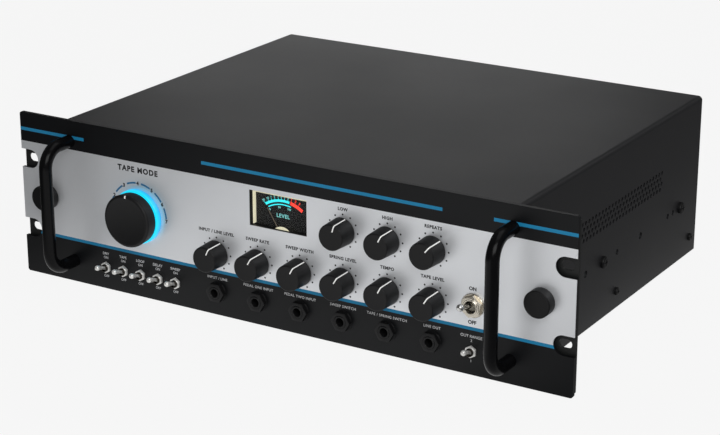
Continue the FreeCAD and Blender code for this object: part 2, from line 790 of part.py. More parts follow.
def handle_holes(low, high, diameter):
    return [disc("xz", HANDLE_X, z, diameter, low, high) for z in handle_screw_zs()]


def drawer_tray():
    """Floor, sides and rear wall, with a front flange that the panel is clamped to."""
    s, i, t, r = DRAWER_SIDE, DRAWER_INSIDE, TRAY_T, TRAY_BEND_R
    profile = [
        (-s, TRAY_BOTTOM, r),
        (s, TRAY_BOTTOM, r),
        (s, TRAY_TOP_Z),
        (i, TRAY_TOP_Z),
        (i, TRAY_FLOOR, r - t),
        (-i, TRAY_FLOOR, r - t),
        (-i, TRAY_TOP_Z),
        (-s, TRAY_TOP_Z),
    ]
    shell = prism("xz", profile, PANEL_BACK, TRAY_REAR)
    rear_profile = [(-s, TRAY_BOTTOM, r), (s, TRAY_BOTTOM, r), (s, TRAY_TOP_Z), (-s, TRAY_TOP_Z)]
    rear = prism("xz", rear_profile, TRAY_REAR - t, TRAY_REAR)
    edge = CASE_INSIDE - FLANGE_CLEAR
    low, high = HANDLE_LOW_Z - FLANGE_MARGIN, HANDLE_TOP_Z + FLANGE_MARGIN
    flange = box(i, edge, PANEL_BACK, PANEL_BACK + t, low, high)
    body = fused([shell, rear, flange, mirrored(flange)])
    hole_d = HANDLE_SCREW_D + 2 * SCREW_CLEAR
    tools = both_sides(handle_holes(PANEL_BACK - 1, PANEL_BACK + 2 * t, hole_d))
    w, h = INLET_W / 2 + SCREW_CLEAR, INLET_H / 2 + SCREW_CLEAR
    y0, y1 = TRAY_REAR - 2 * t, TRAY_REAR + 1
    tools.append(box(INLET_X - w, INLET_X + w, y0, y1, INLET_Z - h, INLET_Z + h))
    return cut_all(body, tools)


def panel_hole(x, z, diameter):
    return disc("xz", x, z, diameter + 2 * NUT_CLEAR, PANEL_FRONT - 1, PANEL_BACK + 1)


def knob_places():
    """(name, x, z, pointer angle) of the nine small knobs."""
    places = []
    for i, (x, angle) in enumerate(zip(KNOB_COLUMNS, LOW_POINTERS)):
        places.append((f"low_{i + 1}", x, KNOB_LOW_Z, angle))
    for i, (x, angle) in enumerate(zip(KNOB_COLUMNS[-len(HIGH_POINTERS):], HIGH_POINTERS)):
        places.append((f"high_{i + 1}", x, KNOB_HIGH_Z, angle))
    return places


def toggle_xs():
    return [TOGGLE_FIRST_X + TOGGLE_PITCH * i for i in range(TOGGLE_COUNT)] + [LEVEL_X]


def notch(side, z):
    """Open notch at the panel's edge, in front of a rack slot."""
    r = NOTCH_H / 2
    middle = side * (PANEL_W / 2 - NOTCH_DEPTH + r)
    outside = side * (PANEL_W / 2 + 1)
    x0, x1 = min(middle, outside), max(middle, outside)
    y0, y1 = PANEL_FRONT - 1, PANEL_BACK + 1
    return [box(x0, x1, y0, y1, z - r, z + r), disc("xz", middle, z, NOTCH_H, y0, y1)]


def front_panel():
    w, h, r = PANEL_W / 2, PANEL_H / 2, PANEL_CORNER_R
    plate = prism("xz", [(-w, -h, r), (w, -h, r), (w, h, r), (-w, h, r)], PANEL_FRONT, PANEL_BACK)
    tools = []
    for side in (-1, 1):
        for z in (-SLOT_SPACING_Z / 2, SLOT_SPACING_Z / 2):
            tools += notch(side, z)
    a, b = METER_W / 2, METER_H / 2
    y0, y1 = PANEL_FRONT - 1, PANEL_BACK + 1
    tools.append(box(METER_X - a, METER_X + a, y0, y1, METER_Z - b, METER_Z + b))
    tools += [panel_hole(x, z, POT_BUSH_D) for name, x, z, angle in knob_places()]
    tools.append(panel_hole(MODE_X, MODE_Z, MODE_BUSH_D))
    tools += [panel_hole(x, JACK_Z, JACK_BUSH_D) for x in KNOB_COLUMNS]
    tools += [panel_hole(x, TOGGLE_Z, TOGGLE_BUSH_D) for x in toggle_xs()]
    tools.append(panel_hole(POWER_X, POWER_Z, POWER_BUSH_D))
    tools += both_sides([panel_hole(THUMB_X, THUMB_Z, THUMB_SHANK_D + SEAT_GAP)])
    tools += both_sides(handle_holes(y0, y1, HANDLE_SCREW_D + 2 * SCREW_CLEAR))
    return cut_all(plate, tools)


def handle():
    """Right handle: one round bar with two bends, tapped at both ends."""
    r, y = HANDLE_BEND_R, PANEL_FRONT - HANDLE_REACH
    top, low = HANDLE_TOP_Z, HANDLE_LOW_Z
    slant = r * (1 - math.sqrt(0.5))
    points = {
        "start": V(HANDLE_X, PANEL_FRONT, top),
        "bend_1": V(HANDLE_X, y + r, top),
        "middle_1": V(HANDLE_X, y + slant, top - slant),
        "bar_1": V(HANDLE_X, y, top - r),
        "bar_2": V(HANDLE_X, y, low + r),
        "middle_2": V(HANDLE_X, y + slant, low + slant),
        "bend_2": V(HANDLE_X, y + r, low),
        "end": V(HANDLE_X, PANEL_FRONT, low),
    }
    path = Part.Wire([
        Part.LineSegment(points["start"], points["bend_1"]).toShape(),
        Part.Arc(points["bend_1"], points["middle_1"], points["bar_1"]).toShape(),
        Part.LineSegment(points["bar_1"], points["bar_2"]).toShape(),
        Part.Arc(points["bar_2"], points["middle_2"], points["bend_2"]).toShape(),
        Part.LineSegment(points["bend_2"], points["end"]).toShape(),
    ])
    section = Part.Wire(Part.makeCircle(HANDLE_D / 2, points["start"], V(0, 1, 0)))
    bar = path.makePipeShell([section], True, False)
    depth = HANDLE_SCREW_L - PANEL_T - TRAY_T + SEAT_GAP
    hole_d = HANDLE_SCREW_D + 2 * SCREW_CLEAR
    return cut_all(bar, handle_holes(PANEL_FRONT - depth, PANEL_FRONT + 1, hole_d))


def handle_screws():
    right = []
    for z in handle_screw_zs():
        base = (HANDLE_X, PANEL_BACK + TRAY_T, z)
        head = (HANDLE_SCREW_HEAD_D, HANDLE_SCREW_HEAD_T)
        right.append(pan_screw(base, (0, 1, 0), *head, HANDLE_SCREW_D, HANDLE_SCREW_L))
    return both_sides(right)


def thumb_screw():
    """Right thumb screw: plain turned head and a shank that reaches the nut in the ear."""
    head_r, shank_r = THUMB_D / 2, THUMB_SHANK_D / 2
    seat = PANEL_FRONT - SEAT_GAP
    tail = seat - THUMB_REACH
    profile = [
        (0, tail),
        (shank_r, tail, THREAD_CLEAR),
        (shank_r, 0),
        (head_r, 0, THUMB_EDGE_R / 2),
        (head_r, THUMB_L, THUMB_EDGE_R),
        (0, THUMB_L),
    ]
    return turned(profile, (THUMB_X, seat, THUMB_Z), (0, -1, 0))


# ================================================================== knobs and what they turn
def knob_blank(profile, x, z, base_y):
    return turned(profile, (x, base_y, z), (0, -1, 0))


def pointer_groove(diameter, length, start, x, z, base_y, angle, whole_side):
    """Groove for a pointer line, from a radius on the face over the edge and down the side."""
    r, w, d = diameter / 2, GROOVE_W / 2, GROOVE_DEPTH
    face = base_y - length
    groove = box(-w, w, face - 1, face + d, start, r + 1)
    if whole_side:
        groove = groove.fuse(box(-w, w, face - 1, base_y + 1, r - d, r + 1))
    groove.rotate(V(), V(0, 1, 0), angle)
    groove.translate(V(x, 0, z))
    return groove


def knob(x, z, angle):
    base = PANEL_FRONT - KNOB_GAP
    recess = POT_BUSH_OUT - KNOB_GAP + RUN_GAP
    bore_r = SHAFT_D / 2 + SHAFT_CLEAR
    recess_r, r = KNOB_RECESS_D / 2, KNOB_D / 2
    end = KNOB_L - KNOB_CAP
    profile = [
        (0, end),
        (bore_r, end),
        (bore_r, recess),
        (recess_r, recess),
        (recess_r, 0),
        (r + KNOB_FLARE, 0),
        (r, KNOB_L, KNOB_EDGE_R),
        (0, KNOB_L),
    ]
    blank = knob_blank(profile, x, z, base)
    start = KNOB_D / 2 * POINTER_START
    groove = pointer_groove(KNOB_D, KNOB_L, start, x, z, base, angle, True)
    tail = PANEL_BACK + POT_DEPTH - POT_BACK_WALL - SEAT_GAP
    shaft = disc("xz", x, z, SHAFT_D, base - end + SEAT_GAP, tail)
    return blank.cut(groove), shaft


def mode_knob():
    base = PANEL_FRONT - RING_T - MODE_KNOB_GAP
    recess = MODE_BUSH_OUT - RING_T - MODE_KNOB_GAP + RUN_GAP
    bore_r = SHAFT_D / 2 + SHAFT_CLEAR
    recess_r, r = MODE_RECESS_D / 2, MODE_KNOB_D / 2
    end = MODE_KNOB_L - KNOB_CAP
    profile = [
        (0, end),
        (bore_r, end),
        (bore_r, recess),
        (recess_r, recess),
        (recess_r, 0),
        (r - MODE_KNOB_TAPER, 0),
        (r, MODE_KNOB_L, MODE_EDGE_R),
        (0, MODE_KNOB_L),
    ]
    blank = knob_blank(profile, MODE_X, MODE_Z, base)
    start = r - MODE_EDGE_R - MODE_TICK_L
    groove = pointer_groove(MODE_KNOB_D, MODE_KNOB_L, start, MODE_X, MODE_Z, base, 0, False)
    tail = PANEL_BACK + MODE_BODY_DEPTH - MODE_BACK_WALL - SEAT_GAP
    shaft = disc("xz", MODE_X, MODE_Z, SHAFT_D, base - end + SEAT_GAP, tail)
    return blank.cut(groove), shaft


def potentiometer(x, z):
    """Round body behind the panel, threaded bushing through it, and its nut in front."""
    body = disc("xz", x, z, POT_D, PANEL_BACK, PANEL_BACK + POT_DEPTH)
    bush = disc("xz", x, z, POT_BUSH_D, PANEL_FRONT - POT_BUSH_OUT, PANEL_BACK)
    front, floor = PANEL_FRONT - POT_BUSH_OUT - 1, PANEL_BACK + POT_DEPTH - POT_BACK_WALL
    bore = disc("xz", x, z, SHAFT_D + 2 * SHAFT_CLEAR, front, floor)
    nut = hexagon("xz", x, z, POT_NUT_AF, PANEL_FRONT - POT_NUT_T, PANEL_FRONT)
    nut_bore = disc("xz", x, z, POT_BUSH_D + 2 * NUT_CLEAR, PANEL_FRONT - 2 * POT_NUT_T, PANEL_FRONT + 1)
    return fused([body, bush]).cut(bore), nut.cut(nut_bore)


def mode_switch():
    """Rotary switch with a clear middle for the knob's shaft, and its nut."""
    x, z, back = MODE_X, MODE_Z, PANEL_BACK + MODE_BODY_DEPTH
    body = disc("xz", x, z, MODE_BODY_D, PANEL_BACK, back)
    bush = disc("xz", x, z, MODE_BUSH_D, PANEL_FRONT - MODE_BUSH_OUT, PANEL_BACK)
    front = PANEL_FRONT - MODE_BUSH_OUT - 1
    bore = disc("xz", x, z, SHAFT_D + 2 * SHAFT_CLEAR, front, back - MODE_BACK_WALL)
    nut = hexagon("xz", x, z, MODE_NUT_AF, PANEL_FRONT - MODE_NUT_T, PANEL_FRONT)
    nut_bore_d = MODE_BUSH_D + 2 * NUT_CLEAR
    nut_bore = disc("xz", x, z, nut_bore_d, PANEL_FRONT - 2 * MODE_NUT_T, PANEL_FRONT + 1)
    return fused([body, bush]).cut(bore), nut.cut(nut_bore)


def light_ring():
    return ring("xz", MODE_X, MODE_Z, RING_D, RING_BORE, PANEL_FRONT - RING_T, PANEL_FRONT)


def control_board():
    """Board behind the potentiometers, stepped down beside the meter."""
    left = KNOB_COLUMNS[0] - CONTROL_BOARD_MARGIN
    right = KNOB_COLUMNS[-1] + CONTROL_BOARD_MARGIN / 2
    step = (METER_X + METER_W / 2 + KNOB_COLUMNS[-len(HIGH_POINTERS)]) / 2
    low = KNOB_LOW_Z - POT_D / 2
    shoulder = KNOB_LOW_Z + POT_D / 2
    top = KNOB_HIGH_Z + POT_D / 2
    corners = [(left, low), (right, low), (right, top), (step, top), (step, shoulder), (left, shoulder)]
    y = PANEL_BACK + POT_DEPTH
    return prism("xz", corners, y, y + BOARD_T)


# ================================================================== level meter
def meter_frame():
    """(left, right, bottom, top) of the meter housing's outside."""
    half = METER_W / 2 + METER_MARGIN + METER_WALL
    top = METER_Z + METER_H / 2 + METER_MARGIN + METER_WALL
    return METER_X - half, METER_X + half, METER_BOTTOM, top


def meter_housing():
    left, right, bottom, top = meter_frame()
    t, back = METER_WALL, PANEL_BACK + METER_DEPTH
    outer = box(left, right, PANEL_BACK, back, bottom, top)
    inner = box(left + t, right - t, PANEL_BACK - 1, back - t, bottom + t, top - t)
    return outer.cut(inner)


def meter_plate(low, high, bottom):
    left, right, outer_bottom, top = meter_frame()
    t = METER_WALL
    return box(left + t, right - t, low, high, bottom, top - t)


def meter_window():
    bottom = METER_Z - METER_H / 2 - METER_MARGIN
    return meter_plate(PANEL_BACK, PANEL_BACK + METER_PANE_T, bottom)


def meter_dial():
    left, right, bottom, top = meter_frame()
    y = PANEL_BACK + DIAL_DEPTH
    plate = meter_plate(y, y + DIAL_T, bottom + METER_WALL)
    return plate.cut(disc("xz", NEEDLE_X, NEEDLE_Z, NEEDLE_HUB_D, y - 1, y + 2 * DIAL_T))


def needle_y():
    """Middle of the gap between the movement's cover and the dial."""
    cover_back = PANEL_BACK + METER_PANE_T + SEAT_GAP + COVER_T
    return (cover_back + PANEL_BACK + DIAL_DEPTH) / 2


def meter_movement():
    """Magnet block behind the dial, and the pale cover in front of the needle's pivot."""
    y = PANEL_BACK + DIAL_DEPTH + DIAL_T
    w, h = MOVEMENT_W / 2, MOVEMENT_H / 2
    middle = NEEDLE_Z
    left, right, bottom, top = meter_frame()
    low = max(middle - h, bottom + METER_WALL)
    block = box(NEEDLE_X - w, NEEDLE_X + w, y, y + MOVEMENT_DEPTH, low, middle + h)
    pivot_d = NEEDLE_PIVOT_D + 2 * SHAFT_CLEAR
    block = block.cut(disc("xz", NEEDLE_X, middle, pivot_d, y - 1, y + MOVEMENT_DEPTH / 2 + SEAT_GAP))
    front = PANEL_BACK + METER_PANE_T + SEAT_GAP
    cover = disc("xz", NEEDLE_X, middle, COVER_D, front, front + COVER_T)
    keep = box(NEEDLE_X - COVER_D, NEEDLE_X + COVER_D, front, front + COVER_T, low, top)
    foot_top = low + COVER_FOOT_H
    foot = box(NEEDLE_X - w / 2, NEEDLE_X + w / 2, front, PANEL_BACK + DIAL_DEPTH, low, foot_top)
    return block, fused([cover.common(keep), foot])


def meter_needle():
    y, x, z = needle_y(), NEEDLE_X, NEEDLE_Z
    t, w = NEEDLE_T / 2, NEEDLE_W / 2
    hub = disc("xz", x, z, NEEDLE_HUB_D - 2 * RUN_GAP, y - t, y + t)
    tail = PANEL_BACK + DIAL_DEPTH + DIAL_T + MOVEMENT_DEPTH / 2
    pivot = disc("xz", x, z, NEEDLE_PIVOT_D, y, tail)
    pointer = prism("xz", [(x - w, z), (x + w, z), (x + w / 2, z + NEEDLE_L), (x - w / 2, z + NEEDLE_L)],
                    y - t, y + t)
    pointer.rotate(V(x, y, z), V(0, 1, 0), NEEDLE_REST_DEG)
    return fused([hub, pivot, pointer])


# ================================================================== jacks and toggle switches
def jack_socket(x):
    """Square body behind the panel and a threaded nose, with one bore for the plug."""
    w, h = JACK_BODY_W / 2, JACK_BODY_H / 2
    back = PANEL_BACK + JACK_BODY_DEPTH
    nose = PANEL_FRONT - JACK_OUT
    body = box(x - w, x + w, PANEL_BACK, back, JACK_Z - h, JACK_Z + h)
    bush = disc("xz", x, JACK_Z, JACK_BUSH_D, nose, PANEL_BACK)
    bore = disc("xz", x, JACK_Z, JACK_BORE_D, nose - 1, back - JACK_END_WALL)
    return fused([body, bush]).cut(bore)


def jack_nut(x):
    """Hexagon nut with a round washer face."""
    washer = disc("xz", x, JACK_Z, JACK_WASHER_D, PANEL_FRONT - JACK_WASHER_T, PANEL_FRONT)
    front = PANEL_FRONT - JACK_WASHER_T - JACK_NUT_T
    nut = hexagon("xz", x, JACK_Z, JACK_NUT_AF, front, PANEL_FRONT - JACK_WASHER_T)
    bore = disc("xz", x, JACK_Z, JACK_BUSH_D + 2 * NUT_CLEAR, front - 1, PANEL_FRONT + 1)
    return fused([washer, nut]).cut(bore)


def toggle_body(x, z, width, height, depth, bush_d, bore_d, out, pivot_out):
    """Box behind the panel and a bushing, bored just past the lever's ball."""
    body = box(x - width / 2, x + width / 2, PANEL_BACK, PANEL_BACK + depth, z - height / 2, z + height / 2)
    nose = PANEL_FRONT - out
    bush = disc("xz", x, z, bush_d, nose, PANEL_BACK)
    floor = PANEL_FRONT - pivot_out + bore_d / 2
    return fused([body, bush]).cut(disc("xz", x, z, bore_d, nose - 1, floor))


def toggle_lever(x, z, pivot_out, bore_d, rod_d, tip_d, tip_l, length, tilt):
    """Lever with its ball in the bushing, tilted up to ON."""
    pivot = V(x, PANEL_FRONT - pivot_out, z)
    tip_r = tip_d / 2
    profile = [
        (0, 0),
        (rod_d / 2, 0),
        (rod_d / 2, length - tip_l),
        (tip_r, length - tip_l + (tip_r - rod_d / 2)),
        (tip_r, length, tip_r * 0.9),
        (0, length),
    ]
    rod = turned(profile, tuple(pivot), (0, -1, 0))
    lever = fused([Part.makeSphere(bore_d / 2 - BALL_GAP, pivot), rod])
    lever.rotate(pivot, V(1, 0, 0), -tilt)
    return lever


def nut_on_panel(x, z, across_flats, bush_d, low, thickness):
    nut = hexagon("xz", x, z, across_flats, low - thickness, low)
    return nut.cut(disc("xz", x, z, bush_d + 2 * NUT_CLEAR, low - 2 * thickness, low + 1))


def toggle_bodies():
    small = (TOGGLE_BODY_W, TOGGLE_BODY_H, TOGGLE_BODY_DEPTH, TOGGLE_BUSH_D)
    small += (TOGGLE_BORE_D, TOGGLE_OUT, TOGGLE_PIVOT_OUT)
    large = (POWER_BODY_W, POWER_BODY_H, POWER_BODY_DEPTH, POWER_BUSH_D)
    large += (POWER_BORE_D, POWER_OUT, POWER_PIVOT_OUT)
    bodies = [toggle_body(x, TOGGLE_Z, *small) for x in toggle_xs()]
    return bodies + [toggle_body(POWER_X, POWER_Z, *large)]


def toggle_nuts():
    nuts = []
    for x in toggle_xs():
        nuts.append(nut_on_panel(x, TOGGLE_Z, TOGGLE_NUT_AF, TOGGLE_BUSH_D, PANEL_FRONT, TOGGLE_NUT_T))
    bore_d = POWER_BUSH_D + 2 * NUT_CLEAR
    seat = PANEL_FRONT - POWER_WASHER_T
    nuts.append(ring("xz", POWER_X, POWER_Z, POWER_WASHER_D, bore_d, seat, PANEL_FRONT))
    nuts.append(nut_on_panel(POWER_X, POWER_Z, POWER_NUT_AF, POWER_BUSH_D, seat, POWER_NUT_T))
    return nuts


def small_lever(x):
    shape = (TOGGLE_PIVOT_OUT, TOGGLE_BORE_D, TOGGLE_ROD_D, TOGGLE_TIP_D, TOGGLE_TIP_L, TOGGLE_LEVER_L)
    return toggle_lever(x, TOGGLE_Z, *shape, TOGGLE_TILT_DEG)


def power_lever():
    shape = (POWER_PIVOT_OUT, POWER_BORE_D, POWER_ROD_D, POWER_TIP_D, POWER_TIP_L, POWER_LEVER_L)
    return toggle_lever(POWER_X, POWER_Z, *shape, POWER_TILT_DEG)


# ================================================================== tape deck
def deck_plate():
    """Plate across the drawer, with a flange down each side of the tray."""
    i, t, under = DRAWER_INSIDE, DECK_T, DECK_TOP_Z - DECK_FLANGE
    profile = [
        (-i, under),
        (t - i, under),
        (t - i, DECK_UNDER),
        (i - t, DECK_UNDER),
        (i - t, under),
        (i, under),
        (i, DECK_TOP_Z),
        (-i, DECK_TOP_Z),
    ]
    plate = prism("xz", profile, DECK_FRONT_Y, DECK_REAR_Y)
    hole_d = CAPSTAN_D + 4 * SCREW_CLEAR
    pivot_d = ARM_PIVOT_D + 2 * SCREW_CLEAR
    tools = [
        disc("xy", CAPSTAN_X, CAPSTAN_Y, hole_d, DECK_UNDER - 1, DECK_TOP_Z + 1),
        disc("xy", ARM_PIVOT_X, ARM_PIVOT_Y, pivot_d, DECK_UNDER - 1, DECK_TOP_Z + 1),
    ]
    return cut_all(plate, tools)


def tank_corners(inset):
    x0, x1 = TANK_LEFT_X + inset, TANK_RIGHT_X - inset
    y0, y1 = TANK_FRONT_Y + inset, TANK_REAR_Y - inset
    r = TANK_CORNER_R - inset
    return [(x0, y0, r), (x1, y0, r), (x1, y1, r), (x0, y1, r)]


def tape_tank():
    """Shallow tray for the loop, with two gaps in its wall for the tape."""
    base = DECK_TOP_Z
    outer = prism("xy", tank_corners(0), base, base + TANK_WALL_H)
    inner = prism("xy", tank_corners(TANK_T), base + TANK_T, base + TANK_WALL_H + 1)
    gaps = []
    for y in (TAPE_LINE_Y, TAPE_RETURN_Y):
        gap = TANK_MARGIN / 2
        x0, x1 = TANK_RIGHT_X - 2 * TANK_T, TANK_RIGHT_X + 1
        gaps.append(box(x0, x1, y - gap, y + gap, base + TANK_T, base + TANK_WALL_H + 1))
    return cut_all(outer.cut(inner), gaps)


def tape_cover():
    """Clear plate that lies on the tank's wall."""
    low = DECK_TOP_Z + TANK_WALL_H
    return prism("xy", tank_corners(0), low, low + COVER_PLATE_T)


def guide_inset():
    """From the tape's middle line to the middle of a guide post."""
    return TAPE_T / 2 + TAPE_GAP + GUIDE_D / 2


def tape_loop():
    """Endless tape: straight past the heads, back over the right guides, then folded in the tank."""
    left, right = TANK_LEFT_X + TANK_MARGIN, TANK_RIGHT_X - 2 * TANK_MARGIN
    low, high = TAPE_RETURN_Y + TANK_MARGIN, TANK_REAR_Y - TANK_MARGIN
    step = (right - left) / (2 * FOLD_COUNT - 1)
    r, turn = FOLD_R, guide_inset()
    corners = [(left, TAPE_LINE_Y, r), (TAPE_RIGHT_X, TAPE_LINE_Y, turn)]
    corners += [(TAPE_RIGHT_X, TAPE_RETURN_Y, turn), (right, TAPE_RETURN_Y, r)]
    for i in range(FOLD_COUNT):
        x = right - 2 * step * i
        corners += [(x, high, r), (x - step, high, r)]
        if i < FOLD_COUNT - 1:
            corners += [(x - step, low, r), (x - 2 * step, low, r)]
    path = outline("xy", corners, TAPE_Z)
    outer = Part.Face(path.makeOffset2D(TAPE_T / 2))
    inner = Part.Face(path.makeOffset2D(-TAPE_T / 2))
    return outer.cut(inner).extrude(V(0, 0, TAPE_W))


def flanged_post(x, y, diameter):
    """Guide post: its waist is as wide as the tape, its lower flange carries the tape's edge."""
    base, flange_r, r = DECK_TOP_Z, diameter / 2 + GUIDE_FLANGE_T, diameter / 2
    shelf = TAPE_Z - TAPE_GAP - base
    head = TAPE_Z + TAPE_W + TAPE_GAP - base
    profile = [
        (0, 0),
        (flange_r, 0),
        (flange_r, shelf),
        (r, shelf),
        (r, head),
        (flange_r, head),
        (flange_r, head + GUIDE_FLANGE_T),
        (0, head + GUIDE_FLANGE_T),
    ]
    return turned(profile, (x, y, base), (0, 0, 1))


def tape_guides():
    """Two posts inside the loop's right corners."""
    inset = guide_inset()
    x = TAPE_RIGHT_X - inset
    return [flanged_post(x, y, GUIDE_D) for y in (TAPE_LINE_Y + inset, TAPE_RETURN_Y - inset)]


def tape_head(x):
    """One head: a block whose rounded nose faces the tape."""
    nose = TAPE_LINE_Y - TAPE_T / 2 - TAPE_GAP
    w, r = HEAD_W / 2, HEAD_NOSE_R
    back = nose - HEAD_D
    corners = [(x - w, back), (x + w, back), (x + w, nose, r), (x - w, nose, r)]
    return prism("xy", corners, DECK_TOP_Z, DECK_TOP_Z + HEAD_H)


def capstan_bearing():
    """Bearing tube under the deck, and the strap that carries the thrust pad."""
    x, y = CAPSTAN_X, CAPSTAN_Y
    tube = disc("xy", x, y, BEARING_D, DECK_UNDER - BEARING_L, DECK_UNDER)
    flange = disc("xy", x, y, BEARING_FLANGE_D, DECK_UNDER - BEARING_FLANGE_T, DECK_UNDER)
    bore_d = CAPSTAN_D + 2 * SHAFT_CLEAR
    bore = disc("xy", x, y, bore_d, DECK_UNDER - BEARING_L - 1, DECK_UNDER + 1)
    pad = FLYWHEEL_TOP - FLYWHEEL_T - FLYWHEEL_GAP - SEAT_GAP
    w, reach, t = STRAP_W / 2, STRAP_REACH, STRAP_T
    low = pad - t
    corners = [
        (y - reach, DECK_UNDER),
        (y - reach, low),
        (y + reach, low),
        (y + reach, DECK_UNDER),
        (y + reach - t, DECK_UNDER),
        (y + reach - t, pad),
        (y - reach + t, pad),
        (y - reach + t, DECK_UNDER),
    ]
    strap = prism("yz", corners, x - w, x + w)
    return fused([tube, flange]).cut(bore), strap


def flywheel():
    """Heavy wheel pressed on the capstan, which stands up through the deck."""
    low = FLYWHEEL_TOP - FLYWHEEL_T
    foot = low - FLYWHEEL_GAP
    r, rim = CAPSTAN_D / 2, FLYWHEEL_D / 2
    top = DECK_TOP_Z + CAPSTAN_TOP
    profile = [
        (0, foot),
        (r, foot),
        (r, low),
        (rim, low, FLYWHEEL_EDGE_R),
        (rim, FLYWHEEL_TOP, FLYWHEEL_EDGE_R),
        (r, FLYWHEEL_TOP),
        (r, top, CAPSTAN_EDGE_R),
        (0, top),
    ]
    return turned(profile, (CAPSTAN_X, CAPSTAN_Y, 0), (0, 0, 1))


def roller_centre():
    """Centre of the pinch roller with the arm released."""
    engaged_y = TAPE_LINE_Y + TAPE_T / 2 + TAPE_GAP + ROLLER_D / 2
    dx, dy = CAPSTAN_X - ARM_PIVOT_X, engaged_y - ARM_PIVOT_Y
    a = math.radians(ARM_RELEASE_DEG)
    return (
        ARM_PIVOT_X + dx * math.cos(a) - dy * math.sin(a),
        ARM_PIVOT_Y + dx * math.sin(a) + dy * math.cos(a),
    )


def roller_low():
    return DECK_TOP_Z + 2 * SEAT_GAP + CLIP_T


def pinch_arm():
    """Flat arm on a shouldered pivot, with the roller's pin and its clip hanging from its end."""
    x, y = roller_centre()
    low = roller_low() + ROLLER_H + SEAT_GAP
    length = math.hypot(x - ARM_PIVOT_X, y - ARM_PIVOT_Y)
    arm = slot("xy", length / 2, 0, length + ARM_W, ARM_W, low, low + ARM_T)
    turn = math.degrees(math.atan2(y - ARM_PIVOT_Y, x - ARM_PIVOT_X))
    arm.rotate(V(), V(0, 0, 1), turn)
    arm.translate(V(ARM_PIVOT_X, ARM_PIVOT_Y, 0))
    seat = DECK_TOP_Z + SEAT_GAP
    pivot = disc("xy", ARM_PIVOT_X, ARM_PIVOT_Y, ARM_PIVOT_D, DECK_UNDER - ARM_BUSH_L, seat)
    shoulder = disc("xy", ARM_PIVOT_X, ARM_PIVOT_Y, ARM_SHOULDER_D, seat, low)
    pin = disc("xy", x, y, ROLLER_PIN_D, seat, low)
    clip = disc("xy", x, y, CLIP_D, seat, seat + CLIP_T)
    return fused([arm, pivot, shoulder, pin, clip])


def pinch_bush():
    """Tube under the deck that the arm's pivot turns in."""
    bore_d = ARM_PIVOT_D + 2 * SHAFT_CLEAR
    outer_d = ARM_PIVOT_D + 2 * ARM_BUSH_WALL
    return ring("xy", ARM_PIVOT_X, ARM_PIVOT_Y, outer_d, bore_d, DECK_UNDER - ARM_BUSH_L, DECK_UNDER)


def pinch_roller():
    x, y = roller_centre()
    low = roller_low()
    return ring("xy", x, y, ROLLER_D, ROLLER_PIN_D + 2 * SHAFT_CLEAR, low, low + ROLLER_H)


def motor_top():
    return TRAY_FLOOR + MOTOR_H


def motor():
    """Round motor that stands on the tray's floor."""
    body = [
        (0, 0),
        (MOTOR_D / 2, 0),
        (MOTOR_D / 2, MOTOR_H - MOTOR_BOSS_T, MOTOR_EDGE_R),
        (MOTOR_BOSS_D / 2, MOTOR_H - MOTOR_BOSS_T),
        (MOTOR_BOSS_D / 2, MOTOR_H),
        (0, MOTOR_H),
    ]
    case = turned(body, (MOTOR_X, CAPSTAN_Y, TRAY_FLOOR), (0, 0, 1))
    bore_d = MOTOR_SHAFT_D + 2 * SHAFT_CLEAR
    top = motor_top()
    return case.cut(disc("xy", MOTOR_X, CAPSTAN_Y, bore_d, top - MOTOR_H / 2, top + 1))


def motor_pulley():
    """Pulley with a flange on each side of the belt, on the motor's shaft."""
    half, r, flange = BELT_W / 2 + SEAT_GAP, PULLEY_D / 2, PULLEY_D / 2 + PULLEY_FLANGE
    t, top = PULLEY_FLANGE, motor_top() - FLYWHEEL_MID
    shaft_low = top - MOTOR_H / 2 + SEAT_GAP
    shaft_r = MOTOR_SHAFT_D / 2
    profile = [
        (0, shaft_low),
        (shaft_r, shaft_low),
        (shaft_r, -half - t),
        (flange, -half - t),
        (flange, -half),
        (r, -half),
        (r, half),
        (flange, half),
        (flange, half + t),
        (0, half + t),
    ]
    return turned(profile, (MOTOR_X, CAPSTAN_Y, FLYWHEEL_MID), (0, 0, 1))


def belt_face(grow):
    """Face inside an open belt round both pulleys, grown outwards."""
    big, small = FLYWHEEL_D / 2 + grow, PULLEY_D / 2 + grow
    span = CAPSTAN_X - MOTOR_X
    lean = math.asin((big - small) / span)
    s, c = math.sin(lean), math.cos(lean)
    z, y = FLYWHEEL_MID - BELT_W / 2, CAPSTAN_Y
    upper_small = V(MOTOR_X - small * s, y + small * c, z)
    upper_big = V(CAPSTAN_X - big * s, y + big * c, z)
    lower_small = V(MOTOR_X - small * s, y - small * c, z)
    lower_big = V(CAPSTAN_X - big * s, y - big * c, z)
    return Part.Face(Part.Wire([
        Part.LineSegment(upper_small, upper_big).toShape(),
        Part.Arc(upper_big, V(CAPSTAN_X + big, y, z), lower_big).toShape(),
        Part.LineSegment(lower_big, lower_small).toShape(),
        Part.Arc(lower_small, V(MOTOR_X - small, y, z), upper_small).toShape(),
    ]))


def drive_belt():
    band = belt_face(BELT_GAP + BELT_T).cut(belt_face(BELT_GAP))
    return band.extrude(V(0, 0, BELT_W))


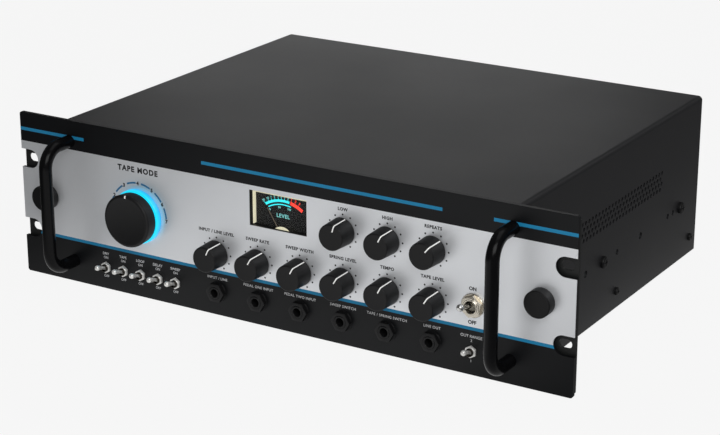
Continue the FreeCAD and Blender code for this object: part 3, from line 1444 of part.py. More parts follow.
# ================================================================== electronics
def circuit_boards():
    """Control board, and the main board on four spacers with a row of capacitors."""
    x0, x1 = MAIN_BOARD_LEFT_IN - DRAWER_INSIDE, MOTOR_X - MOTOR_D / 2 - MAIN_BOARD_MOTOR_GAP
    y0, y1 = MAIN_BOARD_FRONT_Y, TANKBOX_FRONT_Y - MAIN_BOARD_REAR_GAP
    low = TRAY_FLOOR + SPACER_H
    solids = [control_board(), box(x0, x1, y0, y1, low, low + BOARD_T)]
    for x in (x0 + SPACER_INSET, x1 - SPACER_INSET):
        for y in (y0 + SPACER_INSET, y1 - SPACER_INSET):
            solids.append(disc("xy", x, y, SPACER_D, TRAY_FLOOR, low))
    step = (x1 - x0) / (CAP_COUNT + 1)
    for i in range(CAP_COUNT):
        place = (x0 + step * (i + 1), (y0 + y1) / 2)
        solids.append(disc("xy", *place, CAP_D, low + BOARD_T, low + BOARD_T + CAP_H))
    return solids


def power_transformer():
    """Ring transformer with the round plate that clamps it to the floor."""
    r, h = TRANSFORMER_D / 2, TRANSFORMER_H
    coil = [(0, 0), (r, 0, h / 4), (r, h, h / 4), (0, h)]
    place = (TRANSFORMER_X, TRANSFORMER_Y, TRAY_FLOOR)
    plate_top = TRAY_FLOOR + h + TRANSFORMER_PLATE_T
    plate = disc("xy", *place[:2], TRANSFORMER_PLATE_D, TRAY_FLOOR + h, plate_top)
    return turned(coil, place, (0, 0, 1)), plate


def reverb_tank():
    """Sheet tray, open below, with its springs stretched between two blocks."""
    x0 = TRANSFORMER_X + TRANSFORMER_D / 2 + TANKBOX_LEFT_GAP
    x1 = DRAWER_INSIDE - TANKBOX_RIGHT_GAP
    y0, y1 = TANKBOX_FRONT_Y, TANKBOX_REAR_Y
    low, high, t = TRAY_FLOOR, TRAY_FLOOR + TANKBOX_H, TANKBOX_T
    shell = box(x0, x1, y0, y1, low, high)
    shell = shell.cut(box(x0 + t, x1 - t, y0 + t, y1 - t, low - 1, high - t))
    solids = [shell]
    middle_y, b = (y0 + y1) / 2, SPRING_BLOCK
    depth = SPRING_PITCH * SPRING_COUNT / 2
    for x in (x0 + t, x1 - t - b):
        solids.append(box(x, x + b, middle_y - depth, middle_y + depth, high - t - b, high - t))
    z = high - t - b / 2
    for i in range(SPRING_COUNT):
        y = middle_y + SPRING_PITCH * (i - (SPRING_COUNT - 1) / 2)
        solids.append(disc("yz", y, z, SPRING_D, x0 + t + b, x1 - t - b))
    return solids


def mains_inlet():
    """Three-pin appliance inlet in the tray's rear wall."""
    x, z = INLET_X, INLET_Z
    face = TRAY_REAR + INLET_FLANGE_T
    w, h = INLET_W / 2, INLET_H / 2
    body = box(x - w, x + w, TRAY_REAR - INLET_DEPTH, TRAY_REAR, z - h, z + h)
    fw, fh = INLET_FLANGE_W / 2, INLET_FLANGE_H / 2
    flange = box(x - fw, x + fw, TRAY_REAR, face, z - fh, z + fh)
    mw, mh = INLET_MOUTH_W / 2, INLET_MOUTH_H / 2
    floor = face - INLET_MOUTH_DEPTH
    shell = fused([body, flange]).cut(box(x - mw, x + mw, floor, face + 1, z - mh, z + mh))
    pins = []
    for dx, dz in ((-INLET_PIN_SPACING, -1), (0, 1), (INLET_PIN_SPACING, -1)):
        px, pz = x + dx, z + dz * INLET_PIN_RISE
        a, b = INLET_PIN_W / 2, INLET_PIN_H / 2
        pins.append(box(px - a, px + a, floor - NUT_CLEAR, face - INLET_PIN_SET, pz - b, pz + b))
    return fused([shell] + pins)


# ================================================================== all nodes
def build_sleeve():
    save("case_wrap", sleeve_wrap())
    save("case_chassis", sleeve_chassis())
    ear = rack_ear()
    save("ear_right", ear)
    save("ear_left", mirrored(ear))
    save("case_screws", *sleeve_screws())
    save("slide_outer_members", *both_sides([slide_outer()]))


def build_drawer():
    middle = slide_middle()
    save("slide_middle_right", middle)
    save("slide_middle_left", mirrored(middle))
    save("slide_inner_members", *both_sides([slide_inner()]))
    save("drawer_tray", drawer_tray())
    save("front_panel", front_panel())
    bar = handle()
    save("handle_right", bar)
    save("handle_left", mirrored(bar))
    save("handle_screws", *handle_screws())
    screw = thumb_screw()
    save("thumb_screw_right", screw)
    save("thumb_screw_left", mirrored(screw))


def build_controls():
    for name, x, z, angle in knob_places():
        save("knob_" + name, *knob(x, z, angle))
    save("mode_knob", *mode_knob())
    save("mode_switch", *mode_switch())
    save("light_ring", light_ring())
    pots = [potentiometer(x, z) for name, x, z, angle in knob_places()]
    save("potentiometers", *[s for pot in pots for s in pot])
    save("circuit_boards", *circuit_boards())
    jacks = [(jack_socket(x), jack_nut(x)) for x in KNOB_COLUMNS]
    save("jack_sockets", *[s for jack in jacks for s in jack])
    save("toggle_bodies", *toggle_bodies())
    save("toggle_nuts", *toggle_nuts())
    for i, x in enumerate(toggle_xs()[:TOGGLE_COUNT]):
        save(f"toggle_lever_{i + 1}", small_lever(x))
    save("level_lever", small_lever(LEVEL_X))
    save("power_lever", power_lever())


def build_meter():
    save("meter_housing", meter_housing())
    save("meter_dial", meter_dial())
    save("meter_window", meter_window())
    save("meter_movement", *meter_movement())
    save("meter_needle", meter_needle())


def build_machine():
    save("deck_plate", deck_plate())
    save("tape_tank", tape_tank())
    save("tape_cover", tape_cover())
    save("tape_loop", tape_loop())
    heads = [tape_head(HEAD_FIRST_X + HEAD_PITCH * i) for i in range(HEAD_COUNT)]
    save("tape_heads", *heads, *tape_guides())
    save("deck_bearings", *capstan_bearing(), pinch_bush())
    save("flywheel", flywheel())
    save("pinch_arm", pinch_arm())
    save("pinch_roller", pinch_roller())
    save("motor", motor())
    save("motor_pulley", motor_pulley())
    save("drive_belt", drive_belt())
    save("power_transformer", *power_transformer())
    save("reverb_tank", *reverb_tank())
    save("mains_inlet", mains_inlet())


os.makedirs("parts", exist_ok=True)
build_sleeve()
build_drawer()
build_controls()
build_meter()
build_machine()
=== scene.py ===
# %% [markdown]
# # A rack tape echo, dressed in Blender
#
# The machine is a drawer in a black steel sleeve: a wide front panel with two bar handles, ten knobs, a
# small lit meter, sockets and switches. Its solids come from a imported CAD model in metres. Here they get
# their paints and metals, and the pieces that a hand would touch are modelled again with finer shapes.

# %% Load the solids
import json
import math
from contextlib import contextmanager

import bmesh
import bpy
from mathutils import Matrix, Vector


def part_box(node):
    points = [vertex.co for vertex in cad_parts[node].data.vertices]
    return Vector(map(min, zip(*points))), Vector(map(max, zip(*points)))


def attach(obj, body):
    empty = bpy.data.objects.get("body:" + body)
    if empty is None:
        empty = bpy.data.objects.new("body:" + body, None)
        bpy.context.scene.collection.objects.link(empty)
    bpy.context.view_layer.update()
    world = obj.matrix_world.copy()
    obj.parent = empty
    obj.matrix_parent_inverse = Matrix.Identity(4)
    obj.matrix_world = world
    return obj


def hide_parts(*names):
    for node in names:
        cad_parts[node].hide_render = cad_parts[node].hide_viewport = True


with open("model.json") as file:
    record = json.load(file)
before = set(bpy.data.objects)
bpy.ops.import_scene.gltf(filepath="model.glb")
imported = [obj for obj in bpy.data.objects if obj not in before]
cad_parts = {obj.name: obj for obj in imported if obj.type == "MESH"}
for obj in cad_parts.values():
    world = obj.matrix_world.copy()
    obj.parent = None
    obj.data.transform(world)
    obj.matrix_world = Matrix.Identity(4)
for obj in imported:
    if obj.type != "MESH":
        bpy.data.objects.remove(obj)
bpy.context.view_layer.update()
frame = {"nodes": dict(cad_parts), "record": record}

MM = 0.001

# %% [markdown]
# ## Sizes that the pieces share
#
# All lengths here are millimetres, counted from the middle of the four rack slots: X to the right, Y into
# the machine, Z up. Sizes could be read from the solids each time, but a short list of names is easier to
# follow, and the panel's box is printed to set beside them.

# %% Shared sizes
PANEL_FRONT, PANEL_BACK = -6.2, -3.2
PANEL_HALF_W, PANEL_HALF_H = 241.3, 66.25
BLACK_FROM, LINE_TOP, LINE_BOTTOM = 42.8, -29.85, -32.35
STRIPE_Z, STRIPE_T = 52.75, 2.6
STRIPES = ((-PANEL_HALF_W, -178.4), (-67.6, 137.3), (177.6, PANEL_HALF_W))
FIRST_COLUMN, COLUMN_PITCH = -55.3, 37.1
COLUMNS = [FIRST_COLUMN + COLUMN_PITCH * i for i in range(6)]
LOW_Z, HIGH_Z = -16.65, 21.75
LOW_TURNS, HIGH_TURNS = (27, 31, 30, 32, 28, 33), (19, 29, 40)  # degrees from twelve o'clock
KNOBS = [(f"low_{i + 1}", COLUMNS[i], LOW_Z, turn) for i, turn in enumerate(LOW_TURNS)]
KNOBS += [(f"high_{i + 1}", COLUMNS[i + 3], HIGH_Z, turn) for i, turn in enumerate(HIGH_TURNS)]
MODE_X, MODE_Z = -127.7, 0.15
METER_X, METER_Z, METER_W, METER_H = 0.2, 25.45, 50.0, 27.6
NEEDLE_X, NEEDLE_Z = 0.3, 3.75
JACK_Z, TOGGLE_Z = -47.25, -48.4
FIRST_TOGGLE, TOGGLE_PITCH, LEVEL_X = -161.4, 16.7, 161.9
TOGGLES = [(f"toggle_lever_{i + 1}", FIRST_TOGGLE + TOGGLE_PITCH * i) for i in range(5)]
TOGGLES += [("level_lever", LEVEL_X)]
POWER_X, POWER_Z = 162.7, -13.55
THUMB_X, THUMB_Z = 215.9, 0.8
low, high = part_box("front_panel")
print("panel runs from", [round(v / MM, 2) for v in low], "to", [round(v / MM, 2) for v in high])

# %% [markdown]
# ## Sums on shader wires
#
# A finish is a small calculation at each point of a surface. Nodes could be added and linked one by one,
# but a class that stands for one wire and knows plus, minus, times and "is less than" lets each finish be
# written as an ordinary expression. Every other kind of node comes from one method, `node`.

# %% Wire and Finish
class Wire:
    """One output of a shader node, on which Python's operators work."""

    def __init__(self, finish, socket):
        self.finish, self.socket = finish, socket

    def maths(self, operation, *values):
        return self.finish.node("ShaderNodeMath", {"operation": operation}, dict(enumerate(values)))

    def __add__(self, other):
        return self.maths("ADD", self, other)

    def __sub__(self, other):
        return self.maths("SUBTRACT", self, other)

    def __rsub__(self, other):
        return self.maths("SUBTRACT", other, self)

    def __mul__(self, other):
        return self.maths("MULTIPLY", self, other)

    def __truediv__(self, other):
        return self.maths("DIVIDE", self, other)

    def __lt__(self, other):
        return self.maths("LESS_THAN", self, other)

    def __gt__(self, other):
        return self.maths("GREATER_THAN", self, other)

    __radd__, __rmul__ = __add__, __mul__


def plug(tree, socket, value):
    """Links a wire to a socket, or sets the socket to a number or colour."""
    if isinstance(value, Wire):
        tree.links.new(value.socket, socket)
    elif socket.type == "RGBA":
        socket.default_value = (*value[:3], 1.0)
    else:
        socket.default_value = value


class Finish:
    """A material, floor or sky: its node tree, and the method that adds a node of any kind."""

    def __init__(self, owner, **sockets):
        owner.use_nodes = True
        self.owner, self.tree = owner, owner.node_tree
        self.shader = self.tree.nodes.get("Principled BSDF")
        for name, value in sockets.items():
            self.give(name.replace("_", " "), value)

    def node(self, kind, settings=None, inputs=None, output=0):
        made = self.tree.nodes.new(kind)
        for name, value in (settings or {}).items():
            if name == "stops":
                ramp = made.color_ramp.elements
                ramp[0].position, ramp[0].color = value[0][0], (*value[0][1], 1)
                ramp[1].position, ramp[1].color = value[-1][0], (*value[-1][1], 1)
                for place, colour in value[1:-1]:
                    ramp.new(place).color = (*colour, 1)
            else:
                setattr(made, name, value)
        for name, value in (inputs or {}).items():
            plug(self.tree, made.inputs[name], value)
        return Wire(self, made.outputs[output])

    def give(self, socket, value):
        plug(self.tree, self.shader.inputs[socket], value)

    def place(self):
        """The point's X, Y and Z on the object, in metres."""
        point = self.node("ShaderNodeTexCoord", output="Object")
        return [self.node("ShaderNodeSeparateXYZ", {}, {0: point}, axis) for axis in range(3)]

    def noise(self, grain_mm, detail=2.0, stretch=(1, 1, 1)):
        """A cloudy pattern from 0 to 1 whose spots are about grain_mm wide."""
        point = self.node("ShaderNodeTexCoord", output="Object")
        point = self.node("ShaderNodeMapping", {}, {"Vector": point, "Scale": stretch})
        inputs = {"Vector": point, "Scale": 1 / (grain_mm * MM), "Detail": detail}
        return self.node("ShaderNodeTexNoise", {}, inputs)

    def mix(self, share, first, second):
        return self.node("ShaderNodeMix", {"data_type": "RGBA"}, {0: share, 6: first, 7: second}, 2)

    def ramp(self, value, *stops):
        return self.node("ShaderNodeValToRGB", {"stops": stops}, {0: value})

    def bump(self, height, depth_mm, strength, edge_mm):
        """Relief of the given depth. edge_mm also softens the sharp edges of a solid in the light."""
        inputs = {"Height": height, "Distance": depth_mm * MM, "Strength": strength}
        if edge_mm:
            inputs["Normal"] = self.node("ShaderNodeBevel", {"samples": 4}, {"Radius": edge_mm * MM})
        self.give("Normal", self.node("ShaderNodeBump", {}, inputs))


def colour(red, green, blue):
    """A colour as a screen writes it, 0 to 255, turned into light by the usual screen curve."""
    return tuple(v / 3294.6 if v <= 10 else ((v / 255 + 0.055) / 1.055) ** 2.4 for v in (red, green, blue))


print("a mid grey of 128 is", round(colour(128, 128, 128)[0], 3), "of the light")

# %% [markdown]
# ## Paint on folded steel
#
# The sleeve is powder coated: a charcoal plastic skin with a very fine orange-peel grain, a little uneven
# in gloss. Grain could be modelled, but at a few hundredths of a millimetre a bump does it. The ears come
# from another batch and are hardly darker. Cut edges are softened so that they catch a thin line of light.

# %% Coats of the sleeve and ears
def powder_coat(name, tone, lighter, gloss):
    made = Finish(bpy.data.materials.new(name), Specular_IOR_Level=0.3)
    cloud, grain = made.noise(90, 3), made.noise(0.55, 2)
    made.give("Base Color", made.mix(cloud * 0.6 + grain * 0.4, tone, lighter))
    made.give("Roughness", gloss + cloud * 0.10 + grain * 0.06)
    made.bump(grain, 0.03, 0.35, 0.35)
    return made


case_coat = powder_coat("charcoal powder coat", colour(22, 22, 24), colour(30, 30, 32), 0.38)
ear_coat = powder_coat("black powder coat", colour(21, 22, 22), colour(31, 32, 32), 0.40)
print(case_coat.owner.name, "and", ear_coat.owner.name)

# %% [markdown]
# ## The printed front panel
#
# The panel is one aluminium plate: a satin silver field between two black bands, a blue line where the
# field ends, and a blue stripe with two gaps in the upper band. The bands could be separate thin pieces,
# but they are ink of no thickness on a flat plate, so one material works out the ink from the height Z.

# %% Ink of the panel
INK_DEPTH = 0.4  # how far behind the front face the ink still counts, so that the back stays bare


def between(value, low, high):
    return (value > low * MM) * (value < high * MM)


def panel_ink():
    made = Finish(bpy.data.materials.new("printed aluminium"), Specular_IOR_Level=0.2)
    x, y, z = made.place()
    grain, cloud, sparkle = made.noise(0.4, 2), made.noise(60, 3), made.noise(0.16, 1)
    front = y < (PANEL_FRONT + INK_DEPTH) * MM
    silver = between(z, LINE_TOP, BLACK_FROM) * front
    stripe = between(z, STRIPE_Z - STRIPE_T / 2, STRIPE_Z + STRIPE_T / 2)
    lengths = sum((between(x, start, end) for start, end in STRIPES[1:]), between(x, *STRIPES[0]))
    blue = (stripe * lengths + between(z, LINE_BOTTOM, LINE_TOP)) * front
    black = made.mix(grain, colour(10, 11, 13), colour(16, 17, 19))
    field = made.mix(sparkle * 0.5 + cloud * 0.5, colour(214, 216, 219), colour(234, 236, 239))
    shade = made.mix(blue, black, made.mix(cloud, colour(22, 110, 149), colour(30, 123, 165)))
    made.give("Base Color", made.mix(silver, shade, field))
    made.give("Metallic", silver * 0.66)
    made.give("Roughness", 0.40 + grain * 0.05)
    made.bump(grain, 0.02, 0.25, 0.25)
    return made


panel_coat = panel_ink()
print(panel_coat.owner.name, "has", len(panel_coat.tree.nodes), "nodes")

# %% [markdown]
# ## Satin black pieces
#
# Handles, knobs, screws and sockets are all black, but not the same black: the handles are painted steel
# with long soft highlights, the knobs are moulded and matt with a fine tooth, the sockets are a duller
# moulding. One function with a few numbers makes them, so that they stay a family.

# %% Black finishes
def black_finish(name, tone, gloss, grain_mm, relief, edge_mm=0.0, shine=0.22):
    made = Finish(bpy.data.materials.new(name), Specular_IOR_Level=shine)
    cloud, grain = made.noise(14, 3), made.noise(grain_mm, 2)
    lighter = tuple(v * 1.5 + 0.002 for v in tone)
    made.give("Base Color", made.mix(cloud * 0.5 + grain * 0.5, tone, lighter))
    made.give("Roughness", gloss + cloud * 0.08 + grain * 0.06)
    made.bump(grain, 0.03, relief, edge_mm)
    return made


handle_coat = black_finish("satin black lacquer", colour(4, 4, 5), 0.15, 1.6, 0.06, shine=0.11)
knob_plastic = black_finish("matt knob moulding", colour(14, 14, 15), 0.40, 0.22, 0.30)
thumb_coat = black_finish("anodised black", colour(10, 10, 11), 0.34, 0.30, 0.15)
screw_coat = black_finish("blackened steel", colour(8, 8, 9), 0.36, 0.40, 0.20, 0.15)
jack_plastic = black_finish("socket moulding", colour(12, 12, 13), 0.38, 0.30, 0.25, 0.12)
meter_plastic = black_finish("meter moulding", colour(16, 16, 17), 0.35, 0.30, 0.20)
print("six blacks")

# %% [markdown]
# ## Bare and plated metals
#
# Levers and nuts are chromed, the large switch a little warmer because it is nickel. Slides are zinc
# plated, the tray is brushed aluminium, the flywheel is turned steel. A metal looks real when its gloss is
# uneven: fine lines along the brushing, rings from the lathe, a cloud of fingerprints.

# %% Metals
def metal(name, tone, darker, gloss, grain_mm=0.3, stretch=(1, 1, 1), relief=0.15, edge_mm=0.0, share=1.0):
    """A metal with a cloud and lines in its tone and gloss. share is how much of it is metal, not lacquer."""
    made = Finish(bpy.data.materials.new(name), Metallic=share)
    cloud, lines = made.noise(18, 3), made.noise(grain_mm, 3, stretch)
    made.give("Base Color", made.mix(cloud * 0.5 + lines * 0.5, darker, tone))
    made.give("Roughness", gloss + lines * 0.12 + cloud * 0.08)
    made.bump(lines, 0.02, relief, edge_mm)
    return made


chrome = metal("bright chrome", colour(226, 226, 224), colour(190, 190, 188), 0.10)
nickel = metal("warm nickel", colour(230, 224, 211), colour(150, 142, 128), 0.14, share=0.95)
plating = metal("satin plating", colour(238, 237, 234), colour(212, 211, 208), 0.24, share=0.5)
gunmetal = metal("dark plating", colour(70, 66, 60), colour(34, 32, 29), 0.30)
zinc = metal("zinc plate", colour(176, 180, 180), colour(128, 132, 134), 0.30, 6, relief=0.05, edge_mm=0.15)
brushed = metal("brushed aluminium", colour(196, 197, 198), colour(164, 165, 167), 0.30, 0.8, (0.03, 1, 1),
                0.2, 0.2, 0.7)
turned_steel = metal("turned steel", colour(172, 173, 175), colour(120, 121, 124), 0.24, 0.5)
plain_steel = metal("plain steel", colour(168, 169, 171), colour(118, 119, 122), 0.30, 1.2, edge_mm=0.15)
brass = metal("brass", colour(202, 168, 104), colour(150, 118, 62), 0.22, 0.5)
print("nine metals")

# %% [markdown]
# ## Camera and studio
#
# The machine stands on a plain pale floor in soft light: one broad lamp from above, one from the front and
# two weak ones from behind. Floor and sky look white to the camera, while the lamps and a weak sky decide
# how bright the machine is, so its colours come out as they are written. Gloss mirrors a dim sky, and a
# floor whose look in gloss is a painted reflection: white in the middle and dark at the sides, so that it
# darkens the gloss of the machine towards its ends.

# %% Camera
def mm(*values):
    return Vector(values) * MM


def aim(thing, point):
    thing.rotation_euler = (point - thing.location).to_track_quat("-Z", "Y").to_euler()


stage_scene = bpy.context.scene
stage_scene.view_settings.view_transform = "Standard"
camera = bpy.data.objects.new("camera", bpy.data.cameras.new("camera"))
stage_scene.collection.objects.link(camera)
EYE, TARGET = mm(774.917, -1162.481, 506.581), mm(70.527, PANEL_FRONT, 34.664)
SENSOR_W, LENS = 36.0, 100.788
camera.location = EYE
aim(camera, TARGET)
camera.data.sensor_fit, camera.data.sensor_width, camera.data.lens = "HORIZONTAL", SENSOR_W, LENS
camera.data.clip_start, camera.data.clip_end = 0.05, 20.0
stage_scene.camera = camera
print("camera at", [round(v, 3) for v in camera.location])

# %% Lamps, sky and floor
LAMPS_AIM_AT = mm(0, 100, 0)


def lamp(name, place, size, watts):
    """A soft rectangular lamp. Its place and size are in metres."""
    light = bpy.data.lights.new(name, "AREA")
    light.shape, light.size, light.size_y, light.energy = "RECTANGLE", *size, watts
    made = bpy.data.objects.new(name, light)
    stage_scene.collection.objects.link(made)
    made.location = place
    aim(made, LAMPS_AIM_AT)


def ray_kinds(made):
    """Which kind of ray asks: camera, glossy or glass, each 0 or 1."""
    names = ("Is Camera Ray", "Is Glossy Ray", "Is Transmission Ray")
    return [made.node("ShaderNodeLightPath", output=name) for name in names]


def grey(value):
    return (value,) * 3


PALE = colour(247, 247, 247)
SKY_IN_GLOSS, SKY_THROUGH_GLASS, SKY_LIGHT = 0.13, 0.8, 0.42
FLOOR_SIZE, FLOOR_GAP = 6.0, 0.0003  # metres; the gap keeps the floor clear of the machine
FLOOR_SEEN, FLOOR_THROUGH_GLASS = 0.97, 0.8
# Painted reflection: how bright the floor looks in gloss, from left to right, dark at both sides.
FLOOR_IN_GLOSS = ((0.12, 0.01), (0.24, 0.05), (0.33, 0.75), (0.41, 1.0),
                  (0.61, 1.0), (0.68, 0.32), (0.74, 0.08))  # from left to right
world = bpy.data.worlds.new("studio sky")
stage_scene.world = world
sky = Finish(world)
seen, mirrored, through = ray_kinds(sky)
scattered = 1 - seen - mirrored - through
strength = seen + mirrored * SKY_IN_GLOSS + through * SKY_THROUGH_GLASS + scattered * SKY_LIGHT
backdrop = sky.tree.nodes["Background"]
plug(sky.tree, backdrop.inputs["Color"], PALE)
plug(sky.tree, backdrop.inputs["Strength"], strength)

bpy.ops.object.select_all(action="DESELECT")
bpy.ops.mesh.primitive_plane_add(size=FLOOR_SIZE, location=(0, 0.1, -PANEL_HALF_H * MM - FLOOR_GAP))
floor = bpy.context.object
floor.name = "floor"
bpy.ops.object.transform_apply(location=True, rotation=True, scale=True)
floor_paint = Finish(bpy.data.materials.new("pale floor"))
floor.data.materials.append(floor_paint.owner)
seen, mirrored, through = ray_kinds(floor_paint)
across = floor_paint.place()[0] * 0.8 + 0.5  # 0 to 1 over the middle 1.25 metres
glow = floor_paint.node("ShaderNodeEmission", {}, {"Color": PALE, "Strength": 1.0})
# Painted reflection: in gloss the floor's own colour is dark grey, and the ramp below adds its bright middle.
dull = floor_paint.mix(mirrored, grey(0.8), grey(0.08))
matt = floor_paint.node("ShaderNodeBsdfDiffuse", {}, {"Color": dull})
bright = floor_paint.ramp(across, *((place, grey(value)) for place, value in FLOOR_IN_GLOSS))
share = seen * FLOOR_SEEN + through * FLOOR_THROUGH_GLASS + mirrored * bright
mixed = floor_paint.node("ShaderNodeMixShader", {}, {0: share, 1: matt, 2: glow})
floor_paint.tree.links.new(mixed.socket, floor_paint.tree.nodes["Material Output"].inputs["Surface"])
lamp("back softbox", (-1.12, 2.0, 0.33), (1.0, 0.32), 2.4)
lamp("edge softbox", (0.95, 1.95, 1.2), (0.5, 0.5), 1.2)
lamp("top softbox", (0.45, 0.3, 1.6), (1.4, 1.2), 5.6)
lamp("front softbox", (1.0, -1.1, 1.0), (1.3, 1.0), 19)
print("floor, sky and four lamps")

# %% [markdown]
# ## Working on a piece as by hand
#
# Each finer piece starts as one of Blender's primitives and is shaped in edit mode, the way a hand would do
# it: pick some faces or edges, extrude, spin, bevel. They are picked by where they are, in millimetres.
# Round pieces are turned as on a lathe: a single vertex is extruded along half a section, and the section
# is spun.

# %% Start and shape a piece
@contextmanager
def editing(piece, kind):
    """Edit mode on one piece alone, with nothing of it selected."""
    bpy.ops.object.select_all(action="DESELECT")
    bpy.context.view_layer.objects.active = piece
    piece.select_set(True)
    bpy.ops.object.mode_set(mode="EDIT")
    bpy.ops.mesh.select_mode(type=kind)
    bpy.ops.mesh.select_all(action="DESELECT")
    yield
    bpy.ops.object.mode_set(mode="OBJECT")


def pick(piece, kind, test):
    """Selects only the faces or edges whose middle (x, y, z in millimetres) passes the test."""
    bpy.ops.mesh.select_all(action="DESELECT")
    mesh = bmesh.from_edit_mesh(piece.data)
    for item in getattr(mesh, kind):
        middle = sum((vertex.co for vertex in item.verts), Vector()) / len(item.verts) / MM
        if test(*middle):
            item.select_set(True)
    bmesh.update_edit_mesh(piece.data)


def start(name, primitive, **settings):
    """Adds a primitive with nothing else selected, and puts its place in its mesh."""
    bpy.ops.object.select_all(action="DESELECT")
    primitive(**settings)
    piece = bpy.context.object
    piece.name = piece.data.name = name
    bpy.ops.object.transform_apply(location=True, rotation=True, scale=True)
    return piece


def box(name, low, high, rounding=0.0):
    """A block between two corners, with its edges rounded."""
    low, high = mm(*low), mm(*high)
    piece = start(name, bpy.ops.mesh.primitive_cube_add, size=1, location=(low + high) / 2, scale=high - low)
    if rounding:
        with editing(piece, "EDGE"):
            bpy.ops.mesh.select_all(action="SELECT")
            bpy.ops.mesh.bevel(offset=rounding * MM, segments=2, affect="EDGES")
    return piece


print("boxes are ready")

# %% Turn a section
SAME_POINT = 2e-6  # vertices closer than this, in metres, are merged


def turned(name, centre, profile, along=(0, -1, 0), steps=48, closed=False):
    """Turns half a section, pairs of radius and distance along the axis, as on a lathe."""
    centre, along = mm(*centre), Vector(along).normalized()
    out = along.orthogonal().normalized()
    points = [centre + out * r * MM + along * d * MM for r, d in profile]
    piece = start(name, bpy.ops.mesh.primitive_plane_add, size=MM, location=points[0])
    with editing(piece, "VERT"):
        bpy.ops.mesh.select_all(action="SELECT")
        bpy.ops.mesh.merge(type="CENTER")
        for before, after in zip(points, points[1:] + points[:1] * closed):
            bpy.ops.mesh.extrude_vertices_move(TRANSFORM_OT_translate={"value": after - before})
        bpy.ops.mesh.select_all(action="SELECT")
        bpy.ops.mesh.spin(steps=steps, angle=2 * math.pi, center=centre, axis=along)
        bpy.ops.mesh.select_all(action="SELECT")
        bpy.ops.mesh.remove_doubles(threshold=SAME_POINT)
        bpy.ops.mesh.normals_make_consistent(inside=False)
    return piece


print("the lathe is ready")

# %% Change, copy and join pieces
def modified(piece, kind, **settings):
    """Adds a modifier to a piece and applies it."""
    modifier = piece.modifiers.new(kind.lower(), kind)
    for name, value in settings.items():
        setattr(modifier, name, value)
    bpy.ops.object.select_all(action="DESELECT")
    bpy.context.view_layer.objects.active = piece
    bpy.ops.object.modifier_apply(modifier=modifier.name)
    return piece


def discard(*models):
    """Removes tools and models that have done their work."""
    for model in models:
        bpy.data.objects.remove(model)


def combined(piece, tool, operation):
    """Cuts a piece with a tool, or keeps only what both hold, and throws the tool away."""
    modified(piece, "BOOLEAN", object=tool, operation=operation, solver="EXACT")
    discard(tool)
    return piece


def twin(piece, name, change):
    """A copy with its own mesh, moved or turned."""
    made = piece.copy()
    made.data = piece.data.copy()
    made.name = made.data.name = name
    made.data.transform(change)
    stage_scene.collection.objects.link(made)
    return made


def joined(name, pieces):
    """Several pieces as one."""
    bpy.ops.object.select_all(action="DESELECT")
    for piece in pieces:
        piece.select_set(True)
    bpy.context.view_layer.objects.active = pieces[0]
    bpy.ops.object.join()
    pieces[0].name = pieces[0].data.name = name
    return pieces[0]


def shift(x=0.0, y=0.0, z=0.0):
    return Matrix.Translation(mm(x, y, z))


def about(degrees, axis, x=0.0, y=0.0, z=0.0):
    """A turn about an axis through a point."""
    return shift(x, y, z) @ Matrix.Rotation(math.radians(degrees), 4, axis) @ shift(-x, -y, -z)


def copies(model, places):
    """A copy of a model at each X."""
    return [twin(model, model.name, shift(x)) for x in places]


print("modifiers and copies are ready")

# %% Finish a piece
def finished(piece, coat, body, slot, *nodes, crease=35):
    """Gives a piece its finish and shading, and lets it ride on its body in place of its solids."""
    piece.data.materials.clear()
    piece.data.materials.append(coat.owner)
    bpy.ops.object.select_all(action="DESELECT")
    bpy.context.view_layer.objects.active = piece
    piece.select_set(True)
    bpy.ops.object.shade_smooth_by_angle(angle=math.radians(crease))
    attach(piece, body)
    if nodes:
        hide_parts(*nodes)
    print(piece.name, sum(len(f.vertices) - 2 for f in piece.data.polygons), "triangles")


def finished_set(name, pieces, coat, slot, *nodes, crease=35):
    """Several fixed pieces of the drawer as one, with one finish."""
    finished(joined(name, pieces), coat, "drawer", slot, *nodes, crease=crease)


print("finishes can be put on")

# %% [markdown]
# ## Nine small knobs
#
# Each is a moulded cap with a soft rim, hollow behind, and a white line that runs from the middle of its
# face over the rim and down its side. A cylinder with a bevel would do for the cap, but turning the whole
# section gives the rim its exact curve and the hollow back at once. The line is a strip that bends over the
# rim. One knob is made at the origin, and its nine copies are turned and put in their places.

# %% Section of a small knob
def rounded(radius, distance, corner, steps=5):
    """Points of a quarter round rim that ends at a radius and a distance."""
    turns = [math.pi / 2 * i / steps for i in range(steps + 1)]
    return [(radius - corner + corner * math.cos(a), distance - corner + corner * math.sin(a)) for a in turns]


KNOB_FRONT, KNOB_REAR, KNOB_R, KNOB_RIM = -23.4, -7.0, 10.0, 1.0
KNOB_LENGTH = KNOB_REAR - KNOB_FRONT
cap_section = [(0, 13.2), (7.0, 13.2), (7.2, 12.9), (7.2, 0.25), (7.45, 0), (10.2, 0), (10.6, 0.4)]
cap_section += rounded(KNOB_R, KNOB_LENGTH, KNOB_RIM)
cap_section += [(8.6, KNOB_LENGTH - 0.02), (4.0, KNOB_LENGTH - 0.10), (0, KNOB_LENGTH - 0.12)]
cap_model = turned("knob_model", (0, KNOB_REAR, 0), cap_section, steps=72)
print("a knob is", KNOB_LENGTH, "mm long and has", len(cap_model.data.polygons), "faces")

# %% The white line
PAINT_T = 0.12


def over_rim(front, radius, corner, turns):
    """Points (y, z) from a knob's face over its rounded rim."""
    return [(front + corner * (1 - math.cos(a)), radius - corner + corner * math.sin(a)) for a in turns]


